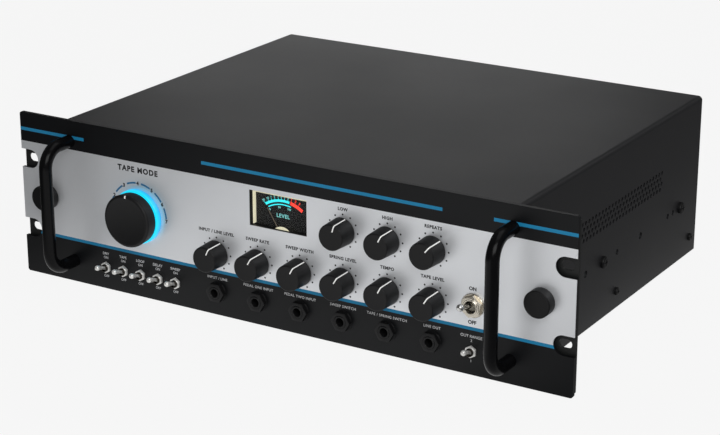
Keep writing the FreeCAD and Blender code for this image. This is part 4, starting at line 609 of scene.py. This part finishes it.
def strip(name, width, path):
    """A band of paint in the plane x = 0 along a path of (y, z) points, thickened to both sides."""
    y0, z0 = path[0]
    piece = start(name, bpy.ops.mesh.primitive_plane_add, size=width * MM, location=mm(0, y0, z0 - width / 2),
                  rotation=(math.radians(90), 0, 0))
    with editing(piece, "EDGE"):
        pick(piece, "edges", lambda x, y, z: z > z0 - 0.01)
        for (ya, za), (yb, zb) in zip(path, path[1:]):
            bpy.ops.mesh.extrude_region_move(TRANSFORM_OT_translate={"value": mm(0, yb - ya, zb - za)})
        pick(piece, "faces", lambda x, y, z: z < z0)
        bpy.ops.mesh.delete(type="FACE")
        bpy.ops.mesh.select_all(action="SELECT")
        bpy.ops.mesh.remove_doubles(threshold=SAME_POINT)
    return modified(piece, "SOLIDIFY", thickness=PAINT_T * MM, offset=0.0)


def flat_ink(name, tone, lighter, gloss=0.45):
    made = Finish(bpy.data.materials.new(name), Roughness=gloss)
    made.give("Base Color", made.mix(made.noise(0.6), tone, lighter))
    return made


white_ink = flat_ink("white ink", colour(226, 226, 224), colour(244, 244, 242))
path = [(KNOB_FRONT + 0.1, 4.7), (KNOB_FRONT + 0.01, 7.5)]
path += over_rim(KNOB_FRONT, KNOB_R, KNOB_RIM, (0, 0.4, 0.8, 1.2, math.pi / 2)) + [(KNOB_REAR - 1.3, 10.55)]
line_model = strip("line_model", 0.9, path)
for name, x, z, degrees in KNOBS:
    place, body = shift(x, 0, z) @ about(degrees, "Y"), f"knob_{name}"
    finished(twin(cap_model, f"knob_cap_{name}", place), knob_plastic, body, "knob_black", body)
    finished(twin(line_model, f"knob_line_{name}", place), white_ink, body, "knob_black")
discard(cap_model, line_model)

# %% [markdown]
# ## The mode knob and its ring of light
#
# The large knob is a broad flat disc with a rounded rim and one short white mark. Behind it a ring of clear
# plastic is lit from inside, and throws a cyan glow on the panel. A lamp could make the glow, but a ring
# that gives light itself lights the panel and the knob's side just where it should, at every turn of the
# knob.

# %% Mode knob
MODE_FRONT, MODE_REAR, MODE_R, MODE_RIM = -22.6, -11.5, 20.9, 1.9
MODE_LENGTH = MODE_REAR - MODE_FRONT
mode_section = [(0, 8.0), (10.6, 8.0), (11.0, 7.6), (11.0, 0.3), (11.3, 0), (19.7, 0), (20.2, 0.5)]
mode_section += rounded(MODE_R, MODE_LENGTH, MODE_RIM, 8) + [(18.5, MODE_LENGTH)]
mode_section += [(18.3, MODE_LENGTH - 0.12), (0, MODE_LENGTH - 0.16)]
mode_cap = turned("mode_cap", (MODE_X, MODE_REAR, MODE_Z), mode_section, steps=96)
finished(mode_cap, knob_plastic, "mode_knob", "knob_black", "mode_knob")
rim = over_rim(MODE_FRONT, MODE_R, MODE_RIM, (0, 0.3, 0.6, 0.9))
tick = strip("mode_tick", 1.2, [(MODE_FRONT, 18.5)] + rim)
tick.data.transform(shift(MODE_X, 0, MODE_Z))
finished(tick, white_ink, "mode_knob", "knob_black")

# %% Ring of light
RING_LENGTH = 4.8
ring_glow = Finish(bpy.data.materials.new("lit cyan ring"), Roughness=0.25, Emission_Strength=3.0)
cells = ring_glow.noise(9, 1)
outwards = (PANEL_FRONT * MM - ring_glow.place()[1]) / (RING_LENGTH * MM)
glow = ring_glow.mix(cells * 0.2 + outwards * 0.8, (0.0, 0.10, 0.26), (0.0, 0.27, 0.36))
ring_glow.give("Base Color", ring_glow.mix(cells, (0.01, 0.05, 0.08), (0.02, 0.08, 0.12)))
ring_glow.give("Emission Color", glow)
ring_section = [(14.3, 0), (14.0, 0.3), (14.0, 4.5), (14.3, RING_LENGTH)]
ring_section += rounded(21.4, RING_LENGTH, 1.2)[::-1] + [(21.4, 0.2), (21.2, 0)]
ring = turned("light_ring_lens", (MODE_X, PANEL_FRONT, MODE_Z), ring_section, steps=96, closed=True)
finished(ring, ring_glow, "drawer", "ring_light", "light_ring")

# %% [markdown]
# ## Thumb screws
#
# Two broad black screws hold the drawer shut. Each head is turned from one bar, with a slightly hollow face
# and a fine ring near its rim, and its shank reaches into the ear behind the panel.

# %% Thumb screws
HEAD_REAR, HEAD_R, HEAD_LENGTH, SHANK_R = -6.5, 10.1, 8.6, 2.5
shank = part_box("thumb_screw_right")[1].y / MM - HEAD_REAR
head = [(0, -shank), (SHANK_R, -shank), (SHANK_R, -0.01), (HEAD_R - 0.4, 0), (HEAD_R, 0.4)]
head += rounded(HEAD_R, HEAD_LENGTH, 0.8)
head += [(8.9, HEAD_LENGTH), (8.75, HEAD_LENGTH - 0.12), (0, HEAD_LENGTH - 0.25)]
screw = turned("thumb_model", (0, HEAD_REAR, 0), head, steps=72)
for side, sign in (("left", -1), ("right", 1)):
    made = twin(screw, f"thumb_head_{side}", shift(sign * THUMB_X, 0, THUMB_Z))
    finished(made, thumb_coat, f"thumb_screw_{side}", "thumb_black", f"thumb_screw_{side}")
discard(screw)
print("shank", round(shank, 2), "mm long")

# %% [markdown]
# ## Nuts
#
# A hexagon nut is a hexagonal bar that was turned: its corners end in a cone. So it is made the same way,
# as what a hexagonal prism and a turned ring have in common.

# %% Hexagon nut
NUT_CHAMFER = 0.42


def corners(flats):
    """Half the width over the corners of a hexagon that is this wide across its flats."""
    return flats / math.sqrt(3)


def hex_nut(name, x, front, z, flats, thickness, bore, degrees=30):
    """A nut on the panel, its front face at Y = front, its hole along Y."""
    corner, half = corners(flats), flats / 2
    ring = [(bore / 2, 0), (corner * 1.02, 0), (corner * 1.02, thickness - NUT_CHAMFER)]
    ring += [(half * 0.97, thickness), (bore / 2 + 0.15, thickness), (bore / 2, thickness - 0.15)]
    blank = turned(name, (x, front + thickness, z), ring, steps=48, closed=True)
    bar = start("bar", bpy.ops.mesh.primitive_cylinder_add, vertices=6, radius=corner * MM,
                depth=thickness * 2 * MM, location=mm(x, front + thickness / 2, z),
                rotation=(math.radians(90), math.radians(degrees), 0))
    return combined(blank, bar, "INTERSECT")


print("a nut of 8 mm is", round(2 * corners(8), 2), "mm over its corners")

# %% [markdown]
# ## Sockets
#
# Six black sockets take quarter inch plugs. Each has a square body behind the panel, a threaded nose, a
# washer and a nut. The nose and its bore are turned together, and the bore is cut on into the body. The
# thread is a row of ridges in the turned section, because its slope doesn't show at this size.

# %% Nose and body of a socket
def ridges(radius, start_at, end_at, pitch, depth):
    """A thread's outline from its end back to its start."""
    points = []
    for i in reversed(range(int((end_at - start_at) / pitch))):
        points += [(radius, start_at + pitch * (i + 0.5)), (radius - depth, start_at + pitch * i)]
    return points


PLUG_HOLE_R, NOSE_R, BARREL_R = 3.25, 4.7, 5.2
nose = [(0, -22.0), (PLUG_HOLE_R, -22.0), (PLUG_HOLE_R, 7.7), (PLUG_HOLE_R + 0.3, 8.0), (4.35, 8.0)]
nose += [(NOSE_R, 7.7)] + ridges(NOSE_R, 0.4, 7.4, 0.7, 0.28) + [(4.55, 0.1), (4.55, -1.0)]
nose += [(BARREL_R, -1.0), (BARREL_R, -23.0), (0, -23.0)]
barrel = turned("socket_barrel", (0, PANEL_BACK, JACK_Z), nose)
shell = box("socket_shell", (-7.25, PANEL_BACK, JACK_Z - 6.5), (7.25, PANEL_BACK + 26, JACK_Z + 6.5), 0.6)
drill = start("drill", bpy.ops.mesh.primitive_cylinder_add, vertices=48, radius=4.0 * MM, depth=30 * MM,
              location=mm(0, PANEL_BACK + 9, JACK_Z), rotation=(math.radians(90), 0, 0))
combined(shell, drill, "DIFFERENCE")
print("the nose has", len(barrel.data.polygons), "faces")

# %% Six sockets
washer_section = [(4.8, 0), (4.8, 0.7), (4.9, 0.8), (7.5, 0.8), (7.7, 0.6), (7.7, 0)]
washer = turned("socket_washer", (0, PANEL_FRONT, JACK_Z), washer_section, closed=True)
ring_nut = hex_nut("socket_nut", 0, PANEL_FRONT - 4.6, JACK_Z, 13.8, 3.8, 9.6)
lugs = [box("socket_lug", (x - 1, 22.6, JACK_Z - 4.2), (x + 1, 27.4, JACK_Z - 3.8), 0.1) for x in (-4, 0, 4)]
socket_model = joined("socket_model", [shell, barrel, washer, ring_nut])
lug_model = joined("lug_model", lugs)
sockets, tags = copies(socket_model, COLUMNS), copies(lug_model, COLUMNS)
finished_set("sockets", sockets, jack_plastic, "jack_black", "jack_sockets")
finished_set("socket_tags", tags, brass, "jack_black")
discard(socket_model, lug_model)

# %% [markdown]
# ## Switches
#
# Six small lever switches and one large one. A lever swings in a ball at the mouth of a threaded bushing,
# thin where it leaves the ball and thick at its tip. It is turned along its own axis and then tilted up, to
# ON.

# %% Small switches
TOGGLE_NUT_T, BALL_Y, TOGGLE_TILT = 1.8, PANEL_FRONT - 1.5, -16
TOGGLE_XS = [x for _, x in TOGGLES]
bush = [(2.2, -1.5), (2.2, 3.7), (2.45, 4.0), (2.75, 4.0), (3.0, 3.75)] + ridges(3.0, 0.2, 3.6, 0.5, 0.2)
bush += [(2.8, 0.0), (2.8, -3.0), (2.2, -3.0)]
bush_model = turned("bush", (0, PANEL_FRONT, TOGGLE_Z), bush, steps=40, closed=True)
nut_model = hex_nut("toggle_nut", 0, PANEL_FRONT - TOGGLE_NUT_T, TOGGLE_Z, 8.0, TOGGLE_NUT_T, 6.1, 0)
dress = [(3.05, 0), (3.6, 0), (3.75, 0.15), (3.75, 0.35), (3.6, 0.5), (3.05, 0.5)]
ring_model = turned("toggle_ring", (0, PANEL_FRONT - TOGGLE_NUT_T, TOGGLE_Z), dress, closed=True)
lever_section = [(0, -1.9), (1.1, -1.6), (1.75, -0.8), (1.9, 0), (1.75, 0.8), (1.35, 1.5), (1.28, 2.0)]
lever_section += [(1.3, 4.0), (1.55, 6.0), (1.9, 8.4)]
lever_section += [(2.1 * math.cos(a), 10.2 + 2.0 * math.sin(a)) for a in [math.pi / 14 * i for i in range(8)]]
lever_model = turned("lever", (0, BALL_Y, TOGGLE_Z), lever_section, steps=32)
lever_model.data.transform(about(TOGGLE_TILT, "X", 0, BALL_Y, TOGGLE_Z))
for name, x in TOGGLES:
    finished(twin(lever_model, f"{name}_bat", shift(x)), plating, name, "chrome", name)
finished_set("switch_bushes", copies(bush_model, TOGGLE_XS), gunmetal, "chrome")
nuts = copies(nut_model, TOGGLE_XS) + copies(ring_model, TOGGLE_XS)
cases = [box("case", (x - 4, PANEL_BACK, TOGGLE_Z - 6.5), (x + 4, PANEL_BACK + 10, TOGGLE_Z + 6.5), 0.5)
         for x in TOGGLE_XS]
discard(bush_model, nut_model, ring_model, lever_model)

# %% Large switch
POWER_BALL, POWER_TILT, POWER_NUT_FRONT = (POWER_X, PANEL_FRONT - 0.6, POWER_Z), -14.3, PANEL_FRONT - 4.2
power_bush = [(4.5, -1.5), (4.5, 4.6), (4.9, 5.0), (5.5, 5.0), (5.9, 4.7)] + ridges(5.9, 0.4, 4.5, 0.8, 0.3)
power_bush += [(5.5, 0.0), (5.5, -3.0), (4.5, -3.0)]
power_barrel = turned("power_bush", (POWER_X, PANEL_FRONT, POWER_Z), power_bush, closed=True)
plate = [(6.1, 0), (6.1, 1.2), (8.6, 1.2), (9.0, 0.8), (9.0, 0)]
dress = [(5.95, 0), (6.7, 0), (6.9, 0.15), (6.9, 0.35), (6.7, 0.5), (5.95, 0.5)]
power_nuts = [turned("power_plate", (POWER_X, PANEL_FRONT, POWER_Z), plate, closed=True),
              hex_nut("power_nut", POWER_X, POWER_NUT_FRONT, POWER_Z, 14.5, 3.0, 11.9, 10),
              turned("power_dress", (POWER_X, POWER_NUT_FRONT, POWER_Z), dress, closed=True)]
cases.append(box("power_case", (POWER_X - 7.5, PANEL_BACK, POWER_Z - 14),
                 (POWER_X + 7.5, PANEL_BACK + 18, POWER_Z + 14), 0.8))
power_section = [(0, -3.4), (1.6, -3.1), (3.0, -2.5), (3.9, -1.2), (4.15, 0), (3.8, 1.5), (2.6, 3.0)]
power_section += [(1.9, 3.8), (1.55, 6.0), (1.45, 15.0)]
turns = [math.pi * (0.2 + 0.8 * i / 12) for i in range(13)]
power_section += [(2.7 * math.sin(a), 18.6 - 2.7 * math.cos(a)) for a in turns]
power_model = turned("power_bat", POWER_BALL, power_section, steps=40)
power_model.data.transform(about(POWER_TILT, "X", *POWER_BALL))
finished(power_model, chrome, "power_lever", "chrome", "power_lever")
switch_plastic = black_finish("switch case moulding", colour(28, 44, 74), 0.4, 0.3, 0.2)
finished(power_barrel, nickel, "drawer", "chrome")
finished_set("switch_nuts", nuts, plating, "chrome", "toggle_nuts")
finished_set("power_nuts", power_nuts, nickel, "chrome")
finished_set("switch_cases", cases, switch_plastic, "switch_body", "toggle_bodies")

# %% [markdown]
# ## The meter
#
# Behind the window a black dial is lit so that its scale glows cyan, and red where the level is too high.
# The walls between pane and dial are ivory, and their glow is painted light: they give light themselves,
# standing in for the dial's light falling on them. The scale could be a picture, but arcs, ticks and figures
# cut from thin sheet stay sharp from close by, and each can give light in its own colour.

# %% Thin marks
MARK_T = 0.03


def on_clock(x, z, radius, degrees):
    """The x and z of a point on a circle round (x, z), at so many degrees from twelve o'clock."""
    turn = math.radians(degrees)
    return x + radius * math.sin(turn), z + radius * math.cos(turn)


def ring_part(name, x, z, y, inner, outer, start_at, end_at):
    """A flat arc that faces the viewer, from one clock angle to another, in degrees from twelve."""
    width, turn = outer - inner, math.radians(start_at)
    px, pz = on_clock(x, z, (inner + outer) / 2, start_at)
    middle, onwards = Vector((px, y, pz)), Vector((math.cos(turn), 0, -math.sin(turn)))
    piece = start(name, bpy.ops.mesh.primitive_plane_add, size=width * MM, location=middle * MM,
                  rotation=(math.radians(90), turn, 0))
    steps, angle = max(2, int(abs(end_at - start_at) / 3)), math.radians(start_at - end_at)
    with editing(piece, "EDGE"):
        bpy.ops.mesh.select_all(action="SELECT")
        bpy.ops.mesh.delete(type="ONLY_FACE")
        pick(piece, "edges", lambda *point: (Vector(point) - middle).dot(onwards) > 0.2 * width)
        bpy.ops.mesh.select_all(action="INVERT")
        bpy.ops.mesh.delete(type="EDGE")
        bpy.ops.mesh.select_all(action="SELECT")
        bpy.ops.mesh.spin(steps=steps, angle=angle, center=mm(x, y, z), axis=(0, 1, 0))
    return piece


def mark(name, x, z, y, radius, width, length, degrees):
    """A small flat bar on a circle round (x, z), pointing outwards."""
    piece = start(name, bpy.ops.mesh.primitive_cube_add, size=1, scale=mm(width, MARK_T, length),
                  location=mm(x, y, z + radius + length / 2))
    piece.data.transform(about(degrees, "Y", x, y, z))
    return piece


CAPITAL_SHARE = 0.72  # height of a capital, as a share of the size of the letters


def word(text, x, z, y, height, degrees=0.0, bolder=0.05, spacing=1.0):
    """Letters of a height, centred on x with their feet on z, then turned about their middle."""
    bpy.ops.object.select_all(action="DESELECT")
    bpy.ops.object.text_add(rotation=(math.radians(90), 0, 0))
    piece = bpy.context.object
    piece.data.body, piece.data.size = text, height / CAPITAL_SHARE * MM
    piece.data.align_x, piece.data.align_y = "CENTER", "BOTTOM_BASELINE"
    piece.data.offset, piece.data.extrude = bolder * MM, 0.4 * MARK_T * MM
    piece.data.space_character, piece.data.resolution_u = spacing, 3
    bpy.ops.object.convert(target="MESH")
    piece = bpy.context.object
    piece.location = mm(x, y, z)
    bpy.ops.object.transform_apply(location=True, rotation=True, scale=True)
    piece.data.transform(about(degrees, "Y", x, y, z + height / 2))
    return piece


print("marks are", MARK_T, "mm thick")

# %% Scale of the meter
def lit(name, tone, power):
    """Print that gives light, a little uneven."""
    made = Finish(bpy.data.materials.new(name), Roughness=0.5, Emission_Strength=power)
    made.give("Base Color", tone)
    made.give("Emission Color", made.mix(made.noise(4), tuple(v * 0.8 for v in tone), tone))
    return made


cyan_light = lit("lit cyan print", (0.03, 0.72, 0.78), 1.1)
red_light = lit("lit red print", (0.95, 0.05, 0.03), 1.0)
faint_light = lit("lit pale print", (0.20, 0.62, 0.60), 0.8)
BELOW_ZERO = {-33.5: "20", -26: "10", -20: "7", -14.5: "5", -8.5: "3", -3.5: "2", 2: "1", 7.5: "0"}
ABOVE_ZERO = {13: "1", 19.5: "2", 26: "3"}
PER_CENT = {-30.5: "0", -9: "50", 12: "100"}
PIVOT, DIAL_Y = (NEEDLE_X, NEEDLE_Z), 1.36


def figure(text, degrees, radius, height, drop, bolder=0.06):
    """A figure of the scale, its feet a drop below the point on its circle."""
    x, z = on_clock(*PIVOT, radius, degrees)
    return word(text, x, z - drop, DIAL_Y, height, degrees, bolder)


cyan = [ring_part("arc", *PIVOT, DIAL_Y, 27.6, 29.6, -35.4, 8.6),
        ring_part("arc", *PIVOT, DIAL_Y, 25.3, 26.2, -32.0, 13.5)]
cyan += [mark("tick", *PIVOT, DIAL_Y, 29.4, 0.4, 1.3, degrees) for degrees in BELOW_ZERO]
faint = [figure(text, degrees, 31.9, 1.7, 0.9) for degrees, text in BELOW_ZERO.items()]
faint += [figure(text, degrees, 23.6, 1.6, 0.8) for degrees, text in PER_CENT.items()]
faint.append(word("LEVEL", -0.2, 19.2, DIAL_Y, 3.0, bolder=0.06, spacing=1.1))
red = [ring_part("arc", *PIVOT, DIAL_Y, 27.2, 29.8, 9.6, 32.6)]
for degrees, text in ABOVE_ZERO.items():
    red.append(mark("tick", *PIVOT, DIAL_Y, 29.6, 0.4, 1.1, degrees))
    red.append(figure(text, degrees, 32.0, 1.9, 0.95, 0.1))
finished_set("scale_cyan", cyan, cyan_light, "dial_print", crease=0)
finished_set("scale_figures", faint, faint_light, "dial_print", crease=0)
finished_set("scale_red", red, red_light, "dial_print", crease=0)

# %% Ivory walls round the dial
# Painted glow: the ivory walls give light of their own, which stands in for the dial's light on them.
ivory = Finish(bpy.data.materials.new("ivory plastic"), Roughness=0.42, Emission_Strength=0.62)
cloud = ivory.noise(5, 2)
ivory.give("Base Color", ivory.mix(cloud, colour(214, 204, 160), colour(238, 232, 200)))
ivory.give("Emission Color", ivory.mix(cloud, (0.80, 0.75, 0.52), (0.95, 0.92, 0.74)))
FRONT, BACK, WALL_T, WALL_GAP = -1.95, 1.3, 0.9, 0.05
left, right = METER_X - METER_W / 2 + WALL_GAP, METER_X + METER_W / 2 - WALL_GAP
bottom, top = METER_Z - METER_H / 2 + WALL_GAP, METER_Z + METER_H / 2 - WALL_GAP
inner_left, inner_right, inner_top = left + WALL_T, right - WALL_T, top - WALL_T
sides = [box("meter_wall", (left, FRONT, bottom), (inner_left, BACK, top), 0.12),
         box("meter_wall", (inner_right, FRONT, bottom + 0.4), (right, BACK, top), 0.12),
         box("meter_wall", (inner_left, FRONT, inner_top), (inner_right, BACK, top), 0.12),
         box("meter_lip", (inner_left, FRONT, top - 2.4), (inner_right, FRONT + 0.3, inner_top), 0.1)]
finished_set("meter_walls", sides, ivory, "cap_ivory")

# %% Dial, pane and needle
def clear_sheet(name, share, smear_mm, tone, lighter, gloss, uneven):
    """A sheet that hides only a share of what is behind it, wiped but not quite clean."""
    made = Finish(bpy.data.materials.new(name), Alpha=share, IOR=1.49)
    smear = made.noise(smear_mm, 3)
    made.give("Base Color", made.mix(smear, grey(tone), grey(lighter)))
    made.give("Roughness", gloss + smear * uneven)
    return made


dial_black = black_finish("dial black", colour(10, 11, 12), 0.5, 0.3, 0.1)
needle_coat = black_finish("needle lacquer", colour(120, 108, 92), 0.4, 0.4, 0.1)
pane = clear_sheet("clear pane", 0.10, 12, 0.02, 0.05, 0.03, 0.05)
tank_cover = clear_sheet("smoked cover", 0.26, 30, 0.05, 0.10, 0.05, 0.12)

# %% [markdown]
# ## Marks and words on the panel
#
# Screen printing lies on the panel as a film of ink, so the marks are thin sheets a hair above it. Around
# each small knob stand eleven dots, round the mode knob seven figures joined by blue arcs. The words are
# plain ones for what a knob, socket or switch of such a machine is.

# %% Dots and figures
INK_Y = PANEL_FRONT - 0.02
black_ink = black_finish("black ink", colour(22, 22, 24), 0.5, 0.3, 0.1)
blue_ink = flat_ink("blue ink", colour(12, 92, 132), colour(20, 106, 150))
DOT_R, DOTS_R = 0.72, 12.6
dot = start("dot", bpy.ops.mesh.primitive_cylinder_add, vertices=14, radius=DOT_R * MM, depth=MARK_T * MM,
            location=mm(0, INK_Y, DOTS_R), rotation=(math.radians(90), 0, 0))
dots = [twin(dot, "dot", shift(x, 0, z) @ about(degrees, "Y")) for _, x, z, _ in KNOBS
        for degrees in range(-150, 151, 30)]
discard(dot)
finished_set("knob_dots", dots, black_ink, "panel_print", crease=0)
STEPS = range(-90, 91, 30)  # the mode knob's seven places, in degrees from twelve
ARC_GAP = 5.5
arcs = [ring_part("arc", MODE_X, MODE_Z, INK_Y, 25.5, 26.9, degrees + ARC_GAP, degrees + 30 - ARC_GAP)
        for degrees in STEPS[:-1]]
finished_set("mode_arcs", arcs, blue_ink, "panel_print", crease=0)

# %% Words
def row(texts, places, z, height, bolder, spacing=1.0):
    """Words with their feet on one line, each centred on its own X."""
    return [word(text, x, z, INK_Y, height, bolder=bolder, spacing=spacing) for text, x in zip(texts, places)]


grey_ink = flat_ink("pale grey ink", colour(196, 197, 199), colour(218, 218, 219), 0.5)
LOW_WORDS = "INPUT / LINE LEVEL", "SWEEP RATE", "SWEEP WIDTH", "SPRING LEVEL", "TEMPO", "TAPE LEVEL"
HIGH_WORDS = "LOW", "HIGH", "REPEATS"
SWITCH_WORDS = "DRY", "TAPE", "LOOP", "DELAY", "SWEEP", "OUT RANGE"
SOCKET_WORDS = ("INPUT / LINE", "PEDAL ONE INPUT", "PEDAL TWO INPUT", "SWEEP SWITCH", "TAPE / SPRING SWITCH",
                "LINE OUT")
spots = [on_clock(MODE_X, MODE_Z, 26.2, degrees) for degrees in STEPS]
dark = [word(str(i + 1), x, z - 1.4, INK_Y, 2.8, bolder=0.22) for i, (x, z) in enumerate(spots)]
dark += row(["TAPE MODE"], [-127.3], 34.7, 4.3, 0.26, 1.22)
dark += row(LOW_WORDS, COLUMNS, -0.5, 2.4, 0.14, 1.12) + row(HIGH_WORDS, COLUMNS[3:], 37.2, 2.4, 0.14, 1.12)
dark += row(["ON"], [POWER_X - 0.4], -2.4, 2.7, 0.15) + row(["OFF"], [POWER_X - 0.4], -27.6, 2.7, 0.15)
pale = row(SOCKET_WORDS, COLUMNS, -37.5, 2.1, 0.02, 1.1) + row(SWITCH_WORDS, TOGGLE_XS, -38.1, 2.2, 0.01)
pale += row(["ON"] * 5 + ["2"], TOGGLE_XS, -41.2, 2.0, 0.01)
pale += row(["OFF"] * 5 + ["1"], TOGGLE_XS, -56.6, 2.0, 0.01)
finished_set("words_dark", dark, black_ink, "panel_print", crease=0)
finished_set("words_pale", pale, grey_ink, "panel_print", crease=0)

# %% [markdown]
# ## Inside the drawer
#
# The rest shows when the drawer is pulled out: the painted deck with its heads, the loop of brown tape in
# its tank, and below it the motor, the transformer and the boards. Most of it only needs a fitting finish.
# Screws hold the deck, and each head has a steel face with a hair-fine gap, so those few are modelled.

# %% Finishes of the works
def plain(name, tone, lighter, gloss, grain_mm, relief=0.2, **sockets):
    """A coat, moulding or board with one tone and a lighter grain."""
    made = Finish(bpy.data.materials.new(name), **sockets)
    cloud, grain = made.noise(25, 3), made.noise(grain_mm, 3)
    made.give("Base Color", made.mix(cloud * 0.4 + grain * 0.6, colour(*tone), colour(*lighter)))
    made.give("Roughness", gloss + grain * 0.10)
    made.bump(grain, 0.03, relief, 0.2)
    return made


deck_coat = plain("grey deck paint", (92, 96, 100), (110, 114, 118), 0.42, 0.8, 0.3)
board_coat = plain("green board", (14, 62, 40), (24, 84, 56), 0.34, 2.2, 0.3)
motor_coat = plain("motor lacquer", (40, 44, 52), (58, 62, 70), 0.30, 1.2, Metallic=0.5)
belt_coat = plain("belt rubber", (18, 18, 18), (30, 30, 29), 0.62, 0.5, 0.4)
roller_coat = plain("roller rubber", (26, 25, 25), (40, 39, 38), 0.55, 0.3, 0.3)
tank_coat = plain("tank moulding", (34, 34, 36), (46, 46, 48), 0.38, 0.7)
tape_coat = plain("brown tape", (58, 34, 22), (76, 48, 32), 0.22, 1.5, 0.1)
coil_coat = plain("coil wrap", (120, 92, 40), (150, 120, 60), 0.45, 0.9, 0.3)
head_metal = metal("head steel", colour(188, 188, 190), colour(146, 147, 150), 0.18, 0.4, (0.05, 1, 1))
print("eight coats and one more metal")

# %% Screws of the deck and faces of the heads
DECK_Z, HEAD_TOP_Z = 10.0, 24.0
FIRST_HEAD, HEAD_PITCH, FACE_Y = 56, 15.5, 89.45
disc_section = [(0, -1.5), (1.4, -1.5), (1.4, 0), (3.1, 0), (3.1, 0.8)]
disc_section += [(3.1 * math.cos(a), 0.8 + 1.0 * math.sin(a)) for a in (0.4, 0.8, 1.2)] + [(0, 1.8)]
screw = turned("deck_screw", (0, 0, DECK_Z), disc_section, along=(0, 0, 1), steps=24)
for half_x, half_y in ((1.7, 0.3), (0.3, 1.7)):
    arm = box("cross", (-half_x, -half_y, DECK_Z + 1.1), (half_x, half_y, DECK_Z + 3))
    combined(screw, arm, "DIFFERENCE")
places = [(x, y) for x in (-176, 176) for y in (53, 165, 277)] + [(44, 165), (44, 240), (100, 200)]
screws = [twin(screw, "deck_screw", shift(x, y)) for x, y in places]
discard(screw)
finished_set("deck_screws", screws, screw_coat, "screw_black")

gaps, caps = [], []
for i in range(5):
    x = FIRST_HEAD + HEAD_PITCH * i
    gaps.append(box("gap", (x - 0.12, FACE_Y, DECK_Z + 2.4), (x + 0.12, FACE_Y + 0.17, DECK_Z + 9.0)))
    caps.append(box("cap", (x - 4.6, 78.0, HEAD_TOP_Z + 0.02), (x + 4.6, 86.0, HEAD_TOP_Z + 0.5), 0.2))
finished_set("head_gaps", gaps, black_ink, "head_metal", crease=0)
finished_set("head_caps", caps, brushed, "head_metal")

# %% [markdown]
# ## Where each finish goes
#
# Every solid knows the name of its material slot. A table from slot to finish paints them all in one loop.

# %% Paint the solids
PAINTS = {
    "case_paint": case_coat, "ear_paint": ear_coat, "screw_black": screw_coat, "slide_steel": zinc,
    "panel_print": panel_coat, "tray_steel": brushed, "handle_black": handle_coat,
    "knob_black": knob_plastic, "thumb_black": thumb_coat, "meter_black": meter_plastic,
    "jack_black": jack_plastic, "chrome": chrome, "steel_plain": plain_steel, "bearing_metal": brass,
    "flywheel_metal": turned_steel, "dial_print": dial_black, "needle_dark": needle_coat,
    "window_clear": pane, "cover_clear": tank_cover, "cap_ivory": ivory, "switch_body": switch_plastic,
    "pot_metal": zinc, "board_green": board_coat, "deck_paint": deck_coat, "motor_metal": motor_coat,
    "belt_rubber": belt_coat, "head_metal": head_metal, "tank_plastic": tank_coat, "tape_brown": tape_coat,
    "coil_wrap": coil_coat, "roller_rubber": roller_coat, "ring_light": ring_glow,
}
for part in frame["record"]["subparts"]:
    solid = frame["nodes"][part["node"]]
    solid.data.materials.clear()
    solid.data.materials.append(PAINTS[part["material_slot"]].owner)
print(len(PAINTS), "slots painted")
